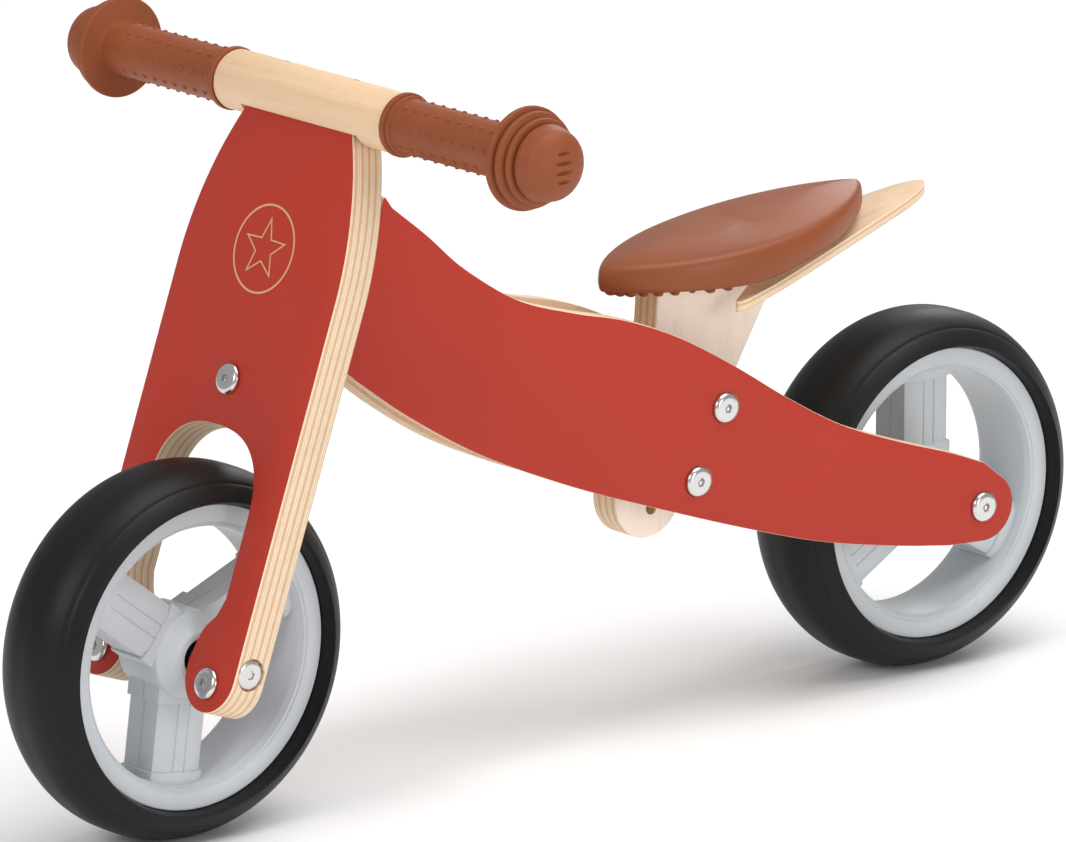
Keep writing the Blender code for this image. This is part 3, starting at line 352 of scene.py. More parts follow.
def birch(name, along, tone=1.0, bleach=0.0):
    """Birch veneer with its grain along one of the three directions."""
    finish = Finish(name, {"Base Color": (0.84, 0.62, 0.40, 1), "Roughness": 0.5,
                           "Specular IOR Level": 0.3})

    def grained(across, lengthways, shift=(0, 0, 0)):
        scale = tuple(lengthways if axis == along else across for axis in range(3))
        return finish.stretched(scale, shift)

    streak = finish.noise(grained(150.0, 5.0), 1, 4, 0.65)
    cloud = finish.noise(grained(26.0, 4.0, (0.3, 1.7, 0.2)), 1, 2)
    fleck = finish.ramp(finish.noise(grained(700.0, 90.0), 1, 1), (0.62, 0), (0.74, 1))
    pale, deep = [tuple(min(1.0, level * tone + bleach * (0.95 - level * tone)) for level in shade)
                  for shade in ((0.83, 0.60, 0.395), (0.72, 0.475, 0.285))]
    grain = finish.mix(finish.ramp(0.6 * streak + 0.4 * cloud, (0.36, 0), (0.64, 1)), pale, deep)
    finish.wear(Base_Color=finish.mix(fleck * 0.22, grain, (0.55, 0.33, 0.17)),
                Roughness=0.42 + 0.16 * streak)
    finish.bump(streak - 0.5 * fleck, 0.00008, 0.5)
    return finish.material


def moulded_rubber():
    finish = Finish("brown_rubber", {"Base Color": (0.25, 0.066, 0.024, 1), "Roughness": 0.5,
                                     "Specular IOR Level": 0.3})
    cloud = finish.noise(finish.place(), 45, 3)
    skin = finish.fine(1400)
    finish.wear(Base_Color=finish.mix(cloud, (0.235, 0.056, 0.017), (0.30, 0.078, 0.027)),
                Roughness=0.44 + 0.16 * skin)
    finish.bump(skin, 0.00005, 0.5)
    return finish.material


def leatherette():
    finish = Finish("brown_leather", {"Base Color": (0.33, 0.10, 0.036, 1), "Roughness": 0.36,
                                      "Specular IOR Level": 0.32})
    pebble = finish.add("ShaderNodeTexVoronoi", {"feature": "SMOOTH_F1"},
                        {"Vector": finish.stretched((1150, 1150, 1150)), "Scale": 1.0}, "Distance")
    crease = finish.fine(240, 4, 0.6)
    cloud = finish.noise(finish.place(), 20, 2)
    shade = cloud * 0.7 + crease * 0.3
    finish.wear(Base_Color=finish.mix(shade, (0.235, 0.058, 0.017), (0.30, 0.080, 0.025)),
                Roughness=0.33 + 0.12 * crease)
    finish.bump(pebble * 0.6 + crease * 0.5, 0.00007, 0.55)
    return finish.material


def tyre_foam():
    finish = Finish("black_foam", {"Base Color": (0.006, 0.006, 0.006, 1), "Roughness": 0.42,
                                   "Specular IOR Level": 0.24})
    dust = finish.noise(finish.place(), 60, 4, 0.7)
    cells = finish.fine(1500)
    finish.wear(Base_Color=finish.mix(dust, (0.004, 0.004, 0.004), (0.009, 0.008, 0.008)),
                Roughness=0.36 + 0.20 * dust)
    finish.bump(cells + 0.8 * dust, 0.00008, 0.6)
    return finish.material


def rim_plastic(name="grey_plastic", colour=(0.58, 0.615, 0.645), roughness=0.36):
    finish = Finish(name, {"Base Color": (*colour, 1), "Roughness": roughness,
                           "Specular IOR Level": 0.35})
    cloud = finish.noise(finish.place(), 35, 3)
    skin = finish.fine(1300)
    darker = tuple(level * 0.93 for level in colour)
    lighter = tuple(min(1.0, level * 1.05) for level in colour)
    finish.wear(Base_Color=finish.mix(cloud, darker, lighter), Roughness=roughness - 0.05 + 0.14 * skin)
    finish.bump(skin, 0.00004, 0.45)
    return finish.material


def plated(name, colour, roughness):
    finish = Finish(name, {"Base Color": (*colour, 1), "Roughness": roughness, "Metallic": 1.0})
    smear = finish.noise(finish.place(), 140, 3)
    fine = finish.fine(1800)
    darker = tuple(level * 0.9 for level in colour)
    finish.wear(Base_Color=finish.mix(smear, colour, darker), Roughness=roughness - 0.06 + 0.16 * smear)
    finish.bump(fine, 0.00002, 0.35)
    return finish.material


# Mesh helpers


def add_mesh(name, points, faces, finishes=(), place=None):
    mesh = bpy.data.meshes.new(name)
    if place is not None:
        points = [place @ Vector(point) for point in points]
    mesh.from_pydata([tuple(point) for point in points], [], faces)
    for finish in finishes:
        mesh.materials.append(finish)
    obj = put(name, mesh)
    face_out(obj)
    return obj


def face_out(obj):
    shape = bmesh.new()
    shape.from_mesh(obj.data)
    bmesh.ops.recalc_face_normals(shape, faces=shape.faces)
    if shape.calc_volume(signed=True) < 0:
        bmesh.ops.reverse_faces(shape, faces=shape.faces)
    shape.to_mesh(obj.data)
    shape.free()


def wall_faces(count):
    """Faces of a solid whose points are one outline after the other."""
    caps = [list(range(count)), list(range(2 * count - 1, count - 1, -1))]
    return caps + band_faces(count, 2)


def band_faces(count, rows):
    """Four-sided faces between rows of points that each close on themselves."""
    faces = []
    for low in range(0, (rows - 1) * count, count):
        for i in range(count):
            j = (i + 1) % count
            faces.append([low + i, low + count + i, low + count + j, low + j])
    return faces


def prism(name, outline, low, high, finishes=(), place=None):
    """Outline in the local x-z plane, extruded along local y."""
    points = [(x, low, z) for x, z in outline] + [(x, high, z) for x, z in outline]
    return add_mesh(name, points, wall_faces(len(outline)), finishes, place)


def turned(name, profile, finishes=(), place=None, steps=96):
    """Closed profile turned round local z. A radius may depend on the angle, as in a hexagonal socket."""
    points = []
    rows = []
    for radius, height in profile:
        if radius == 0:
            rows.append([len(points)] * steps)
            points.append((0, 0, height))
            continue
        rows.append(list(range(len(points), len(points) + steps)))
        for i in range(steps):
            turn = 2 * pi * i / steps
            reach = radius(turn) if callable(radius) else radius
            points.append((reach * cos(turn), reach * sin(turn), height))
    faces = []
    for row, after in zip(rows, rows[1:] + rows[:1]):
        for i in range(steps):
            j = (i + 1) % steps
            face = list(dict.fromkeys([row[i], row[j], after[j], after[i]]))
            if len(face) > 2:
                faces.append(face)
    return add_mesh(name, points, faces, finishes, place)


def boring(radius, start, stop, place, steps=64):
    """Round cutter between two heights on local z."""
    return turned("tool", [(0, start), (radius, start), (radius, stop), (0, stop)], (), place, steps)


def settle(obj):
    """Turns the object and its modifiers into a plain mesh."""
    graph = bpy.context.evaluated_depsgraph_get()
    mesh = bpy.data.meshes.new_from_object(obj.evaluated_get(graph))
    obj.modifiers.clear()
    obj.data = mesh
    mesh.name = obj.name
    return obj


def carve(obj, *tools):
    for tool in tools:
        step = obj.modifiers.new("carve", "BOOLEAN")
        step.operation = "DIFFERENCE"
        step.solver = "EXACT"
        step.object = tool
        settle(obj)
        bpy.data.objects.remove(tool, do_unlink=True)
    return obj


def ease_edges(obj, width, segments=2, angle=35):
    """Rounds the sharp edges, then shades the surface smooth between the ones that are left."""
    bevel = obj.modifiers.new("eased", "BEVEL")
    bevel.width = width
    bevel.segments = segments
    bevel.limit_method = "ANGLE"
    bevel.angle_limit = radians(angle)
    bevel.use_clamp_overlap = True
    settle(obj)
    return soften(obj, angle)


def soften(obj, angle=35):
    obj.data.shade_smooth()
    obj.data.set_sharp_from_angle(angle=radians(angle))
    return obj


def face_finish(obj, chooser):
    """Gives each face the material slot that the chooser picks from its normal and centre."""
    for face in obj.data.polygons:
        face.material_index = chooser(face.normal, face.center)


def arc(centre, radius, start, end, steps):
    turns = [radians(start + (end - start) * i / steps) for i in range(steps + 1)]
    return [(centre[0] + radius * cos(turn), centre[1] + radius * sin(turn)) for turn in turns]


def curve_through(knots, steps=8):
    """Smooth line through the knots, both ends included."""
    knots = [np.array(knot, float) for knot in knots]
    padded = [2 * knots[0] - knots[1], *knots, 2 * knots[-1] - knots[-2]]
    line = []
    for before, start, end, after in zip(padded, padded[1:], padded[2:], padded[3:]):
        for i in range(steps):
            t = i / steps
            line.append(tuple(0.5 * (2 * start + (end - before) * t
                                     + (2 * before - 5 * start + 4 * end - after) * t**2
                                     + (3 * start - before - 3 * end + after) * t**3)))
    return line + [tuple(knots[-1])]


def show(obj, body, slot, *nodes):
    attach(obj, body)
    if nodes:
        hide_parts(*nodes)
    return obj


# Geometry Nodes


def node_tree(name, inputs):
    tree = bpy.data.node_groups.new(name, "GeometryNodeTree")
    for label, kind, default in inputs:
        socket = tree.interface.new_socket(label, in_out="INPUT", socket_type=kind)
        if default is not None:
            socket.default_value = default
    tree.interface.new_socket("Geometry", in_out="OUTPUT", socket_type="NodeSocketGeometry")
    return tree


def dress_and_end(tree, given, stand):
    """Makes the copies real, gives them their material and ends the tree."""
    nodes, links = tree.nodes, tree.links
    real = nodes.new("GeometryNodeRealizeInstances")
    links.new(stand.outputs["Instances"], real.inputs["Geometry"])
    dress = nodes.new("GeometryNodeSetMaterial")
    links.new(real.outputs["Geometry"], dress.inputs["Geometry"])
    links.new(given.outputs["Finish"], dress.inputs["Material"])
    result = nodes.new("NodeGroupOutput")
    links.new(dress.outputs["Geometry"], result.inputs["Geometry"])
    return tree


def copies_tree():
    """Stands a copy of a piece on every point, its own z along the point's "out" direction."""
    tree = node_tree("stand_copies", [
        ("Geometry", "NodeSocketGeometry", None),
        ("Copy", "NodeSocketObject", None),
        ("Size", "NodeSocketFloat", 1.0),
        ("Size Spread", "NodeSocketFloat", 0.0),
        ("Seed", "NodeSocketInt", 3),
        ("Finish", "NodeSocketMaterial", None),
    ])
    nodes, links = tree.nodes, tree.links
    given = nodes.new("NodeGroupInput")
    out = nodes.new("GeometryNodeInputNamedAttribute")
    out.data_type = "FLOAT_VECTOR"
    out.inputs["Name"].default_value = "out"
    aim = nodes.new("FunctionNodeAlignRotationToVector")
    aim.axis = "Z"
    links.new(out.outputs["Attribute"], aim.inputs["Vector"])
    spread = nodes.new("FunctionNodeRandomValue")
    spread.data_type = "FLOAT"
    less = nodes.new("ShaderNodeMath")
    less.operation = "SUBTRACT"
    more = nodes.new("ShaderNodeMath")
    more.operation = "ADD"
    for step in (less, more):
        links.new(given.outputs["Size"], step.inputs[0])
        links.new(given.outputs["Size Spread"], step.inputs[1])
    links.new(less.outputs[0], spread.inputs[2])
    links.new(more.outputs[0], spread.inputs[3])
    links.new(given.outputs["Seed"], spread.inputs["Seed"])
    source = nodes.new("GeometryNodeObjectInfo")
    links.new(given.outputs["Copy"], source.inputs["Object"])
    stand = nodes.new("GeometryNodeInstanceOnPoints")
    links.new(given.outputs["Geometry"], stand.inputs["Points"])
    links.new(source.outputs["Geometry"], stand.inputs["Instance"])
    links.new(aim.outputs["Rotation"], stand.inputs["Rotation"])
    links.new(spread.outputs[1], stand.inputs["Scale"])
    return dress_and_end(tree, given, stand)


def round_axle_tree():
    """Repeats a piece in equal steps round the y axis through a centre."""
    tree = node_tree("round_axle", [
        ("Geometry", "NodeSocketGeometry", None),
        ("Copies", "NodeSocketInt", 3),
        ("First Turn", "NodeSocketFloat", 0.0),
        ("Centre", "NodeSocketVector", (0.0, 0.0, 0.0)),
        ("Finish", "NodeSocketMaterial", None),
    ])
    nodes, links = tree.nodes, tree.links
    given = nodes.new("NodeGroupInput")
    points = nodes.new("GeometryNodePoints")
    links.new(given.outputs["Copies"], points.inputs["Count"])
    links.new(given.outputs["Centre"], points.inputs["Position"])
    index = nodes.new("GeometryNodeInputIndex")
    step = nodes.new("ShaderNodeMath")
    step.operation = "DIVIDE"
    step.inputs[0].default_value = 2 * pi
    links.new(given.outputs["Copies"], step.inputs[1])
    turn = nodes.new("ShaderNodeMath")
    turn.operation = "MULTIPLY_ADD"
    links.new(index.outputs[0], turn.inputs[0])
    links.new(step.outputs[0], turn.inputs[1])
    links.new(given.outputs["First Turn"], turn.inputs[2])
    spin = nodes.new("FunctionNodeAxisAngleToRotation")
    spin.inputs["Axis"].default_value = (0, 1, 0)
    links.new(turn.outputs[0], spin.inputs["Angle"])
    stand = nodes.new("GeometryNodeInstanceOnPoints")
    links.new(points.outputs[0], stand.inputs["Points"])
    links.new(given.outputs["Geometry"], stand.inputs["Instance"])
    links.new(spin.outputs["Rotation"], stand.inputs["Rotation"])
    return dress_and_end(tree, given, stand)


def run_tree(obj, tree, **values):
    """Runs the tree on the object with its named inputs, and leaves a plain mesh."""
    step = obj.modifiers.new(tree.name, "NODES")
    step.node_group = tree
    sockets = {item.name: item.identifier for item in tree.interface.items_tree
               if item.in_out == "INPUT"}
    for name, value in values.items():
        step[sockets[name.replace("_", " ")]] = value
    return settle(obj)


def stand_copies(name, spots, copy, finish, size=1.0, spread=0.0, seed=3):
    """Copies of a piece on (position, direction) spots, as one plain mesh."""
    mesh = bpy.data.meshes.new(name)
    mesh.from_pydata([tuple(spot) for spot, _ in spots], [], [])
    out = mesh.attributes.new("out", "FLOAT_VECTOR", "POINT")
    out.data.foreach_set("vector", [level for _, direction in spots for level in direction])
    obj = put(name, mesh)
    run_tree(obj, TREES["copies"], Copy=copy, Finish=finish, Size=size, Size_Spread=spread, Seed=seed)
    return soften(obj)


# Fork


def fork_outline():
    inner = FORK_HALF_WIDTH - LEG_WIDTH
    foot = FORK_HALF_WIDTH - FOOT_RADIUS
    heel = foot - FOOT_RADIUS
    line = []
    for i in range(41):
        turn = pi / 2 * (1 - i / 40)
        line.append((inner * cos(turn) ** 0.8, 0.066 + 0.0377 * sin(turn) ** 0.8))
    line += curve_through([(inner, 0.0300), (inner - 0.0035, 0.0215), (heel + 0.0040, 0.0135),
                           (heel, FOOT_HEIGHT + 0.0045)], 8)
    line += arc((foot, FOOT_HEIGHT), FOOT_RADIUS, 180, 360, 40)
    reach = FORK_TOP - FORK_SHOULDER
    end = np.degrees(np.arcsin(reach / FORK_SHOULDER_RADIUS))
    middle = (FORK_HALF_WIDTH - FORK_SHOULDER_RADIUS, FORK_SHOULDER)
    return line + arc(middle, FORK_SHOULDER_RADIUS, 0, end, 28)


def fork_board():
    half = fork_outline()
    outline = half + [(-y, v) for y, v in reversed(half[1:])]
    place = FORK_FRAME @ Matrix.Rotation(pi / 2, 4, "Z") @ Matrix.Scale(-1, 4, (1, 0, 0))
    edge = ply_edge("fork_ply", FORK_ORIGIN, FORK_NORMAL, FORK_THICKNESS, 9)
    board = prism("fork_board_shown", outline, -FORK_THICKNESS / 2, FORK_THICKNESS / 2,
                  [FINISHES["paint"], edge], place)
    recess = FORK_HALF_WIDTH - 0.0025
    tools = [boring(HEAD_RADIUS + GAP, recess, CUTTER_REACH, along_y(AXLE_X, WHEEL_RADIUS, side))
             for side in (1, -1)]
    ease_edges(board, 0.0007, 2, 40)
    carve(board, *tools)
    outer = FORK_THICKNESS / 2 - PAINT_DEPTH
    face_finish(board, lambda normal, spot: 0 if abs(normal.dot(FORK_NORMAL)) > FACING
                and abs((spot - FORK_ORIGIN).dot(FORK_NORMAL)) > outer else 1)
    soften(board, 30)
    return show(board, "fork", "red_paint", "fork_board")


def printed_motif():
    """Small printed ring with a five-pointed star on the front of the fork board."""
    gold = Finish("printed_gold", {"Base Color": (0.62, 0.36, 0.17, 1), "Roughness": 0.45})
    gold.wear(Roughness=0.4 + 0.1 * gold.noise(gold.place(), 300))
    face = FORK_FRAME @ Matrix.Translation((FORK_THICKNESS / 2, 0, MOTIF_HEIGHT))
    flat = face @ Matrix.Rotation(pi / 2, 4, "Y")
    band = [(0.0198, -MOTIF_SUNK), (0.0208, -MOTIF_SUNK), (0.0208, MOTIF_THICKNESS),
            (0.0198, MOTIF_THICKNESS)]
    ring = turned("motif_ring", band, [gold.material], flat, 120)
    star = []
    for i in range(10):
        reach = 0.0150 if i % 2 == 0 else 0.0062
        star.append((reach * sin(pi * i / 5), reach * cos(pi * i / 5)))
    upright = face @ Matrix.Rotation(pi / 2, 4, "Z")
    body = prism("motif_star", star, -MOTIF_THICKNESS, MOTIF_SUNK, [gold.material], upright)
    inner = [(x * 0.86, z * 0.86) for x, z in star]
    hollow = prism("tool", inner, -0.01, 0.01, (), upright)
    carve(body, hollow)
    for piece in (ring, body):
        show(piece, "fork", "birch")


def handlebar():
    end = BAR_HALF_LENGTH + 0.0890
    ease = 0.0010
    half_profile = [(BAR_RADIUS, BAR_HALF_LENGTH - ease),
                    (BAR_RADIUS - ease * 0.3, BAR_HALF_LENGTH - ease * 0.3),
                    (BAR_RADIUS - ease, BAR_HALF_LENGTH), (BAR_CORE_RADIUS, BAR_HALF_LENGTH),
                    (BAR_CORE_RADIUS, end), (0, end)]
    profile = [(radius, -height) for radius, height in reversed(half_profile)] + half_profile
    centre = FORK_FRAME @ Vector((0, 0, BAR_HEIGHT))
    bar = turned("handlebar_shown", profile, [FINISHES["bar_birch"]], along_y(centre.x, centre.z), 128)
    drop = sqrt(FORK_SHOULDER_RADIUS**2 - (FORK_TOP - FORK_SHOULDER - 0.009) ** 2) - FORK_SHOULDER_RADIUS
    slot = FORK_HALF_WIDTH + drop + 0.0012
    half = FORK_THICKNESS / 2 + GAP
    outline = [(-half, BAR_HEIGHT - 0.03), (half, BAR_HEIGHT - 0.03), (half, FORK_TOP + GAP),
               (-half, FORK_TOP + GAP)]
    tools = [prism("tool", outline, -slot, slot, (), FORK_FRAME)]
    for side in (1, -1):
        place = FORK_FRAME @ Matrix.Translation((0, side * BAR_SCREW_OFFSET, BAR_HEIGHT))
        profile = [(0, -0.01), (0.0021, -0.01), (0.0021, 0.005), (0.0036, 0.005), (0.0036, 0.02),
                   (0, 0.02)]
        tools.append(turned("tool", profile, (), place, 48))
    carve(bar, *tools)
    soften(bar, 30)
    return show(bar, "fork", "birch", "handlebar")


def rounded_ring(root, radius, start, width):
    """One thin moulded disc of a grip: up its inner face, round its edge and down its outer face."""
    ease = 0.0007
    flat = radius - ease
    line = [(root, start), (flat, start)]
    line += [(flat + ease * sin(radians(turn)), start + ease - ease * cos(radians(turn)))
             for turn in (30, 60, 90)]
    line += [(flat + ease * cos(radians(turn)), start + width - ease + ease * sin(radians(turn)))
             for turn in (0, 30, 60, 90)]
    return line


def grip_profile():
    line = [(0.0142, 0), (0.01455, 0.0001), (0.0148, 0.0006), (0.0148, 0.0024), (0.01455, 0.0029),
            (0.0142, 0.0030), (0.0136, 0.0031), (0.0136, 0.0036), (0.0138, 0.0038), (0.0138, 0.0050),
            (0.0134, 0.0054), (0.0127, 0.0056), (GRIP_RADIUS, 0.0064), (GRIP_RADIUS, GRIP_TUBE - 0.0020),
            (GRIP_RADIUS + 0.0004, GRIP_TUBE - 0.0006)]
    discs = ((0.0237, 0.0, 0.0140), (0.0220, 0.0045, 0.0152), (0.0197, 0.0090, 0.0150))
    for radius, offset, root in discs:
        line += rounded_ring(root, radius, GRIP_TUBE + offset, 0.0026)
    base = GRIP_TUBE + 0.0130
    crown = 0.0164
    line += [(0.0152, base - 0.0014), (0.0153, base - 0.0001), (0.0168, base), (0.0174, base + 0.0003),
             (0.0176, base + 0.0010), (0.0173, base + 0.0030), (crown, base + 0.0055)]
    for turn in range(8, 90, 8):
        rise = 0.0085 * sin(radians(turn))
        line.append((crown * cos(radians(turn)) ** 0.8, base + 0.0055 + rise))
    line.append((0, base + 0.0140))
    line += [(0, 0.0902), (0.0098, 0.0902), (0.0098, 0.0)]
    return line


def oval(name, reach):
    """Small rounded lump with the three half sizes, centred on its own origin."""
    shape = bmesh.new()
    bmesh.ops.create_uvsphere(shape, u_segments=16, v_segments=10, radius=1.0)
    mesh = bpy.data.meshes.new(name)
    for vert in shape.verts:
        vert.co = Vector((vert.co.x * reach[0], vert.co.y * reach[1], vert.co.z * reach[2]))
    shape.to_mesh(mesh)
    shape.free()
    return put(name, mesh)


def grip(word, side):
    centre = FORK_FRAME @ Vector((0, 0, BAR_HEIGHT))
    place = along_y(centre.x, centre.z, side) @ Matrix.Translation((0, 0, BAR_HALF_LENGTH + GAP))
    sleeve = turned("grip_" + word + "_shown", grip_profile(), [FINISHES["rubber"]], place, 128)
    tip = GRIP_TUBE + 0.0270
    tools = []
    dimples = ((-1.5, 0.0044, 0.0004), (-0.5, 0.0062, 0.0), (0.5, 0.0062, 0.0), (1.5, 0.0044, 0.0004))
    for row, length, drop in dimples:
        tool = oval("tool", (length, 0.0012, 0.0026))
        tool.data.transform(place @ Matrix.Translation((0, row * 0.0043, tip - drop + 0.0012)))
        tools.append(tool)
    carve(sleeve, *tools)
    soften(sleeve, 40)
    show(sleeve, "fork", "brown_rubber", "grip_" + word)
    bump = oval("bump_source", (0.0011, 0.0011, 0.0008))
    spots = []
    for row in range(BUMPS_AROUND):
        turn = 2 * pi * (row + 0.5 + 0.27 * side) / BUMPS_AROUND
        for step in range(BUMPS_ALONG):
            out = Vector((cos(turn), sin(turn), 0))
            spot = place @ (out * GRIP_RADIUS + Vector((0, 0, BUMP_START + BUMP_PITCH * step)))
            spots.append((spot, place.to_3x3() @ out))
    bumps = stand_copies("grip_" + word + "_bumps", spots, bump, FINISHES["rubber"])
    bpy.data.objects.remove(bump, do_unlink=True)
    show(bumps, "fork", "brown_rubber")


def hexagon(reach):
    """Radius of a hexagonal socket at an angle."""
    return lambda turn: reach * cos(pi / 6) / cos((turn % (pi / 3)) - pi / 6)


def bolt_copy(length=0.008, head=HEAD_RADIUS, height=0.0029, socket=0.0023):
    """Button-head bolt with a hexagonal socket, its seat at its own origin and its head along z."""
    hexed = hexagon(socket)
    smaller = hexagon(socket * 0.9)
    floor = height * 0.35
    profile = [(0, floor - 0.0003), (smaller, floor), (hexed, height - 0.00025),
               (hexed, height - 0.0001), (socket * 1.22, height), (socket * 1.35, height),
               (head * 0.62, height), (head * 0.80, height - 0.0001), (head - 0.0006, height - 0.0007),
               (head - 0.0001, height - 0.0013), (head, height - 0.0017),
               (head, 0.0002), (head - 0.0002, 0), (0.0030, 0), (0.0030, -length), (0, -length)]
    return turned("bolt_source", profile, (), None, 48)


def fasteners(name, spots, body, nodes, **sizes):
    source = bolt_copy(**sizes)
    obj = stand_copies(name, spots, source, FINISHES["nickel"])
    bpy.data.objects.remove(source, do_unlink=True)
    return show(obj, body, "nickel_plate", *nodes)


def fork_bolts():
    seat = FORK_THICKNESS / 2 + GAP
    across = FORK_HALF_WIDTH - FOOT_RADIUS
    holes = ((0, CENTRE_BOLT_HEIGHT), (across, LEG_BOLT_HEIGHT), (-across, LEG_BOLT_HEIGHT))
    spots = [(FORK_FRAME @ Vector((seat, y, up)), FORK_NORMAL) for y, up in holes]
    fasteners("fork_bolts", spots, "fork", ("centre_bolt", "leg_bolt_left", "leg_bolt_right"),
              height=0.0026)
    edge = FORK_HALF_WIDTH - 0.0022
    ends = [((AXLE_X, side * edge, WHEEL_RADIUS), (0, side, 0)) for side in (1, -1)]
    fasteners("front_axle_bolts", ends, "fork", ("front_axle_bolt_left", "front_axle_bolt_right"),
              height=0.0018)


# Frame


def panel_outline():
    tail = arc((0, 0), 0.0170, 268, 130, 40)
    upper = curve_through([(0.0, 0.0218), (0.020, 0.0296), (0.051, 0.0398), (0.0825, 0.0521),
                           (0.1135, 0.0696), (0.144, 0.0894), (0.175, 0.1072), (0.205, 0.1195),
                           (0.235, 0.1274), (0.265, 0.1376), (0.294, 0.1563), (0.314, 0.1744),
                           (0.333, 0.1901)])
    stretch = sqrt(1 + PANEL_TAPER**2)
    nose = ((0.0008, 0.2226), (0.0, 0.2216), (0.0, 0.1480), (0.0012, 0.1440), (0.0045, 0.1415))
    head = [FORK_FRAME @ Vector((-FORK_THICKNESS / 2 - HEAD_SETBACK - back, 0, up)) for back, up in nose]
    front = [((spot.x + AXLE_X) * stretch, spot.z - WHEEL_RADIUS) for spot in head]
    lower = curve_through([(0.3528, 0.1112), (0.3237, 0.0898), (0.2845, 0.0663), (0.235, 0.0442),
                           (0.1846, 0.0258), (0.1336, 0.0085), (0.0924, -0.0036), (0.051, -0.0118),
                           (0.0200, -0.0163)])
    return tail + upper + front + lower


def bolt_spot(index):
    reach = index * SEAT_HOLE_PITCH
    return UPPER_BOLT[0] + reach * sin(HOLE_LINE), UPPER_BOLT[1] - reach * cos(HOLE_LINE)


def panel_bolts():
    """The two seat bolts and the rear axle bolt, as (x, z)."""
    return bolt_spot(0), bolt_spot(2), (-AXLE_X, WHEEL_RADIUS)


def side_panel(word, side):
    place = panel_place(side)
    outward = UP.cross(panel_forward(side)) * side
    middle = place @ Vector((0.1, -side * PANEL_THICKNESS / 2, 0))
    edge = ply_edge(word + "_panel_ply", middle, outward, PANEL_THICKNESS, 5)
    low, high = (-PANEL_THICKNESS, 0) if side > 0 else (0, PANEL_THICKNESS)
    panel = prism(word + "_side_panel_shown", panel_outline(), low, high,
                  [FINISHES["paint"], edge, FINISHES["panel_birch"]], place)
    ease_edges(panel, 0.0006, 2, 40)
    tools = []
    for x, z in panel_bolts():
        floor = panel_outer(x + HEAD_RADIUS) - GAP
        tools.append(boring(HEAD_RADIUS + GAP, floor, CUTTER_REACH, along_y(x, z, side)))
    carve(panel, *tools)

    def choose(normal, spot):
        facing = normal.dot(outward)
        depth = (spot - middle).dot(outward)
        if facing > FACING and depth > PANEL_THICKNESS / 2 - PAINT_DEPTH:
            return 0
        return 2 if facing < -FACING else 1

    face_finish(panel, choose)
    soften(panel, 30)
    return show(panel, "frame", "red_paint", word + "_side_panel")


def frame_bolts():
    for word, side in (("left", 1), ("right", -1)):
        spots = [((x, side * panel_outer(x + HEAD_RADIUS), z), (0, side, 0)) for x, z in panel_bolts()]
        kind = "bolt" if side > 0 else "nut"
        nodes = ("seat_" + kind + "_upper", "seat_" + kind + "_lower", "rear_axle_bolt_" + word)
        fasteners("frame_bolts_" + word, spots, "frame", nodes, length=0.030)


def saddle_underside(x):
    back = max(0.0, -0.084 - x)
    if back < 0.024:
        return SADDLE_SEAT + back**2 / 0.24
    return SADDLE_SEAT + 0.0024 + 0.2 * (back - 0.024)


def saddle_fill(x):
    """How much the padding evens out the bend of the base."""
    back = min(1.0, max(0.0, (SADDLE_CENTRE + SADDLE_HALF_LENGTH - x) / (2 * SADDLE_HALF_LENGTH)))
    return SADDLE_SEAT + 0.0189 * back**1.4 - saddle_underside(x)


def saddle_half_width(x):
    t = min(1.0, abs(x - SADDLE_CENTRE) / SADDLE_HALF_LENGTH)
    return SADDLE_HALF_WIDTH * (1 - t * t) ** 0.80


def tail_top(x):
    return TAIL_TIP_HEIGHT + TAIL_SLOPE * (TAIL_TIP - x)


def seat_board():
    foot = (bolt_spot(3)[0] + 0.0019, bolt_spot(3)[1] + 0.0060)
    front = curve_through([(-0.0565, 0.1960), (-0.0500, 0.1660), (-0.0390, 0.1360),
                           (foot[0] + 0.020, foot[1] + 0.002)])
    end = arc(foot, 0.020, 0, -160, 40)
    stations = [-0.1390 + i * 0.0815 / 30 for i in range(31)]
    top = [(x, saddle_underside(x) - GAP) for x in stations]
    outline = front + end + [(-0.1062, 0.1670)] + top
    edge = ply_edge("seat_ply", (0, 0, 0), (0, 1, 0), SEAT_BOARD_THICKNESS, 7)
    half = SEAT_BOARD_THICKNESS / 2
    board = prism("seat_board_shown", outline, -half, half, [FINISHES["seat_birch"], edge])
    ease_edges(board, 0.0006, 2, 40)
    tools = []
    for index in range(4):
        x, z = bolt_spot(index)
        radius = 0.0045 if index in (0, 2) else 0.0032
        tools.append(boring(radius, -0.02, 0.02, along_y(x, z), 48))
    start, stop = TAIL_CLEFT + GAP, -0.1600
    thick = TAIL_THICKNESS * hypot(1, TAIL_SLOPE)
    notch = [(start, tail_top(start) + 0.00033), (start, tail_top(start) - thick - 0.00033),
             (stop, tail_top(stop) - thick - 0.00033), (stop, tail_top(stop) + 0.00033)]
    tools.append(prism("tool", notch, -0.02, 0.02))
    carve(board, *tools)
    face_finish(board, lambda normal, spot: 0 if abs(normal.y) > FACING else 1)
    soften(board, 30)
    return show(board, "frame", "birch", "seat_board")


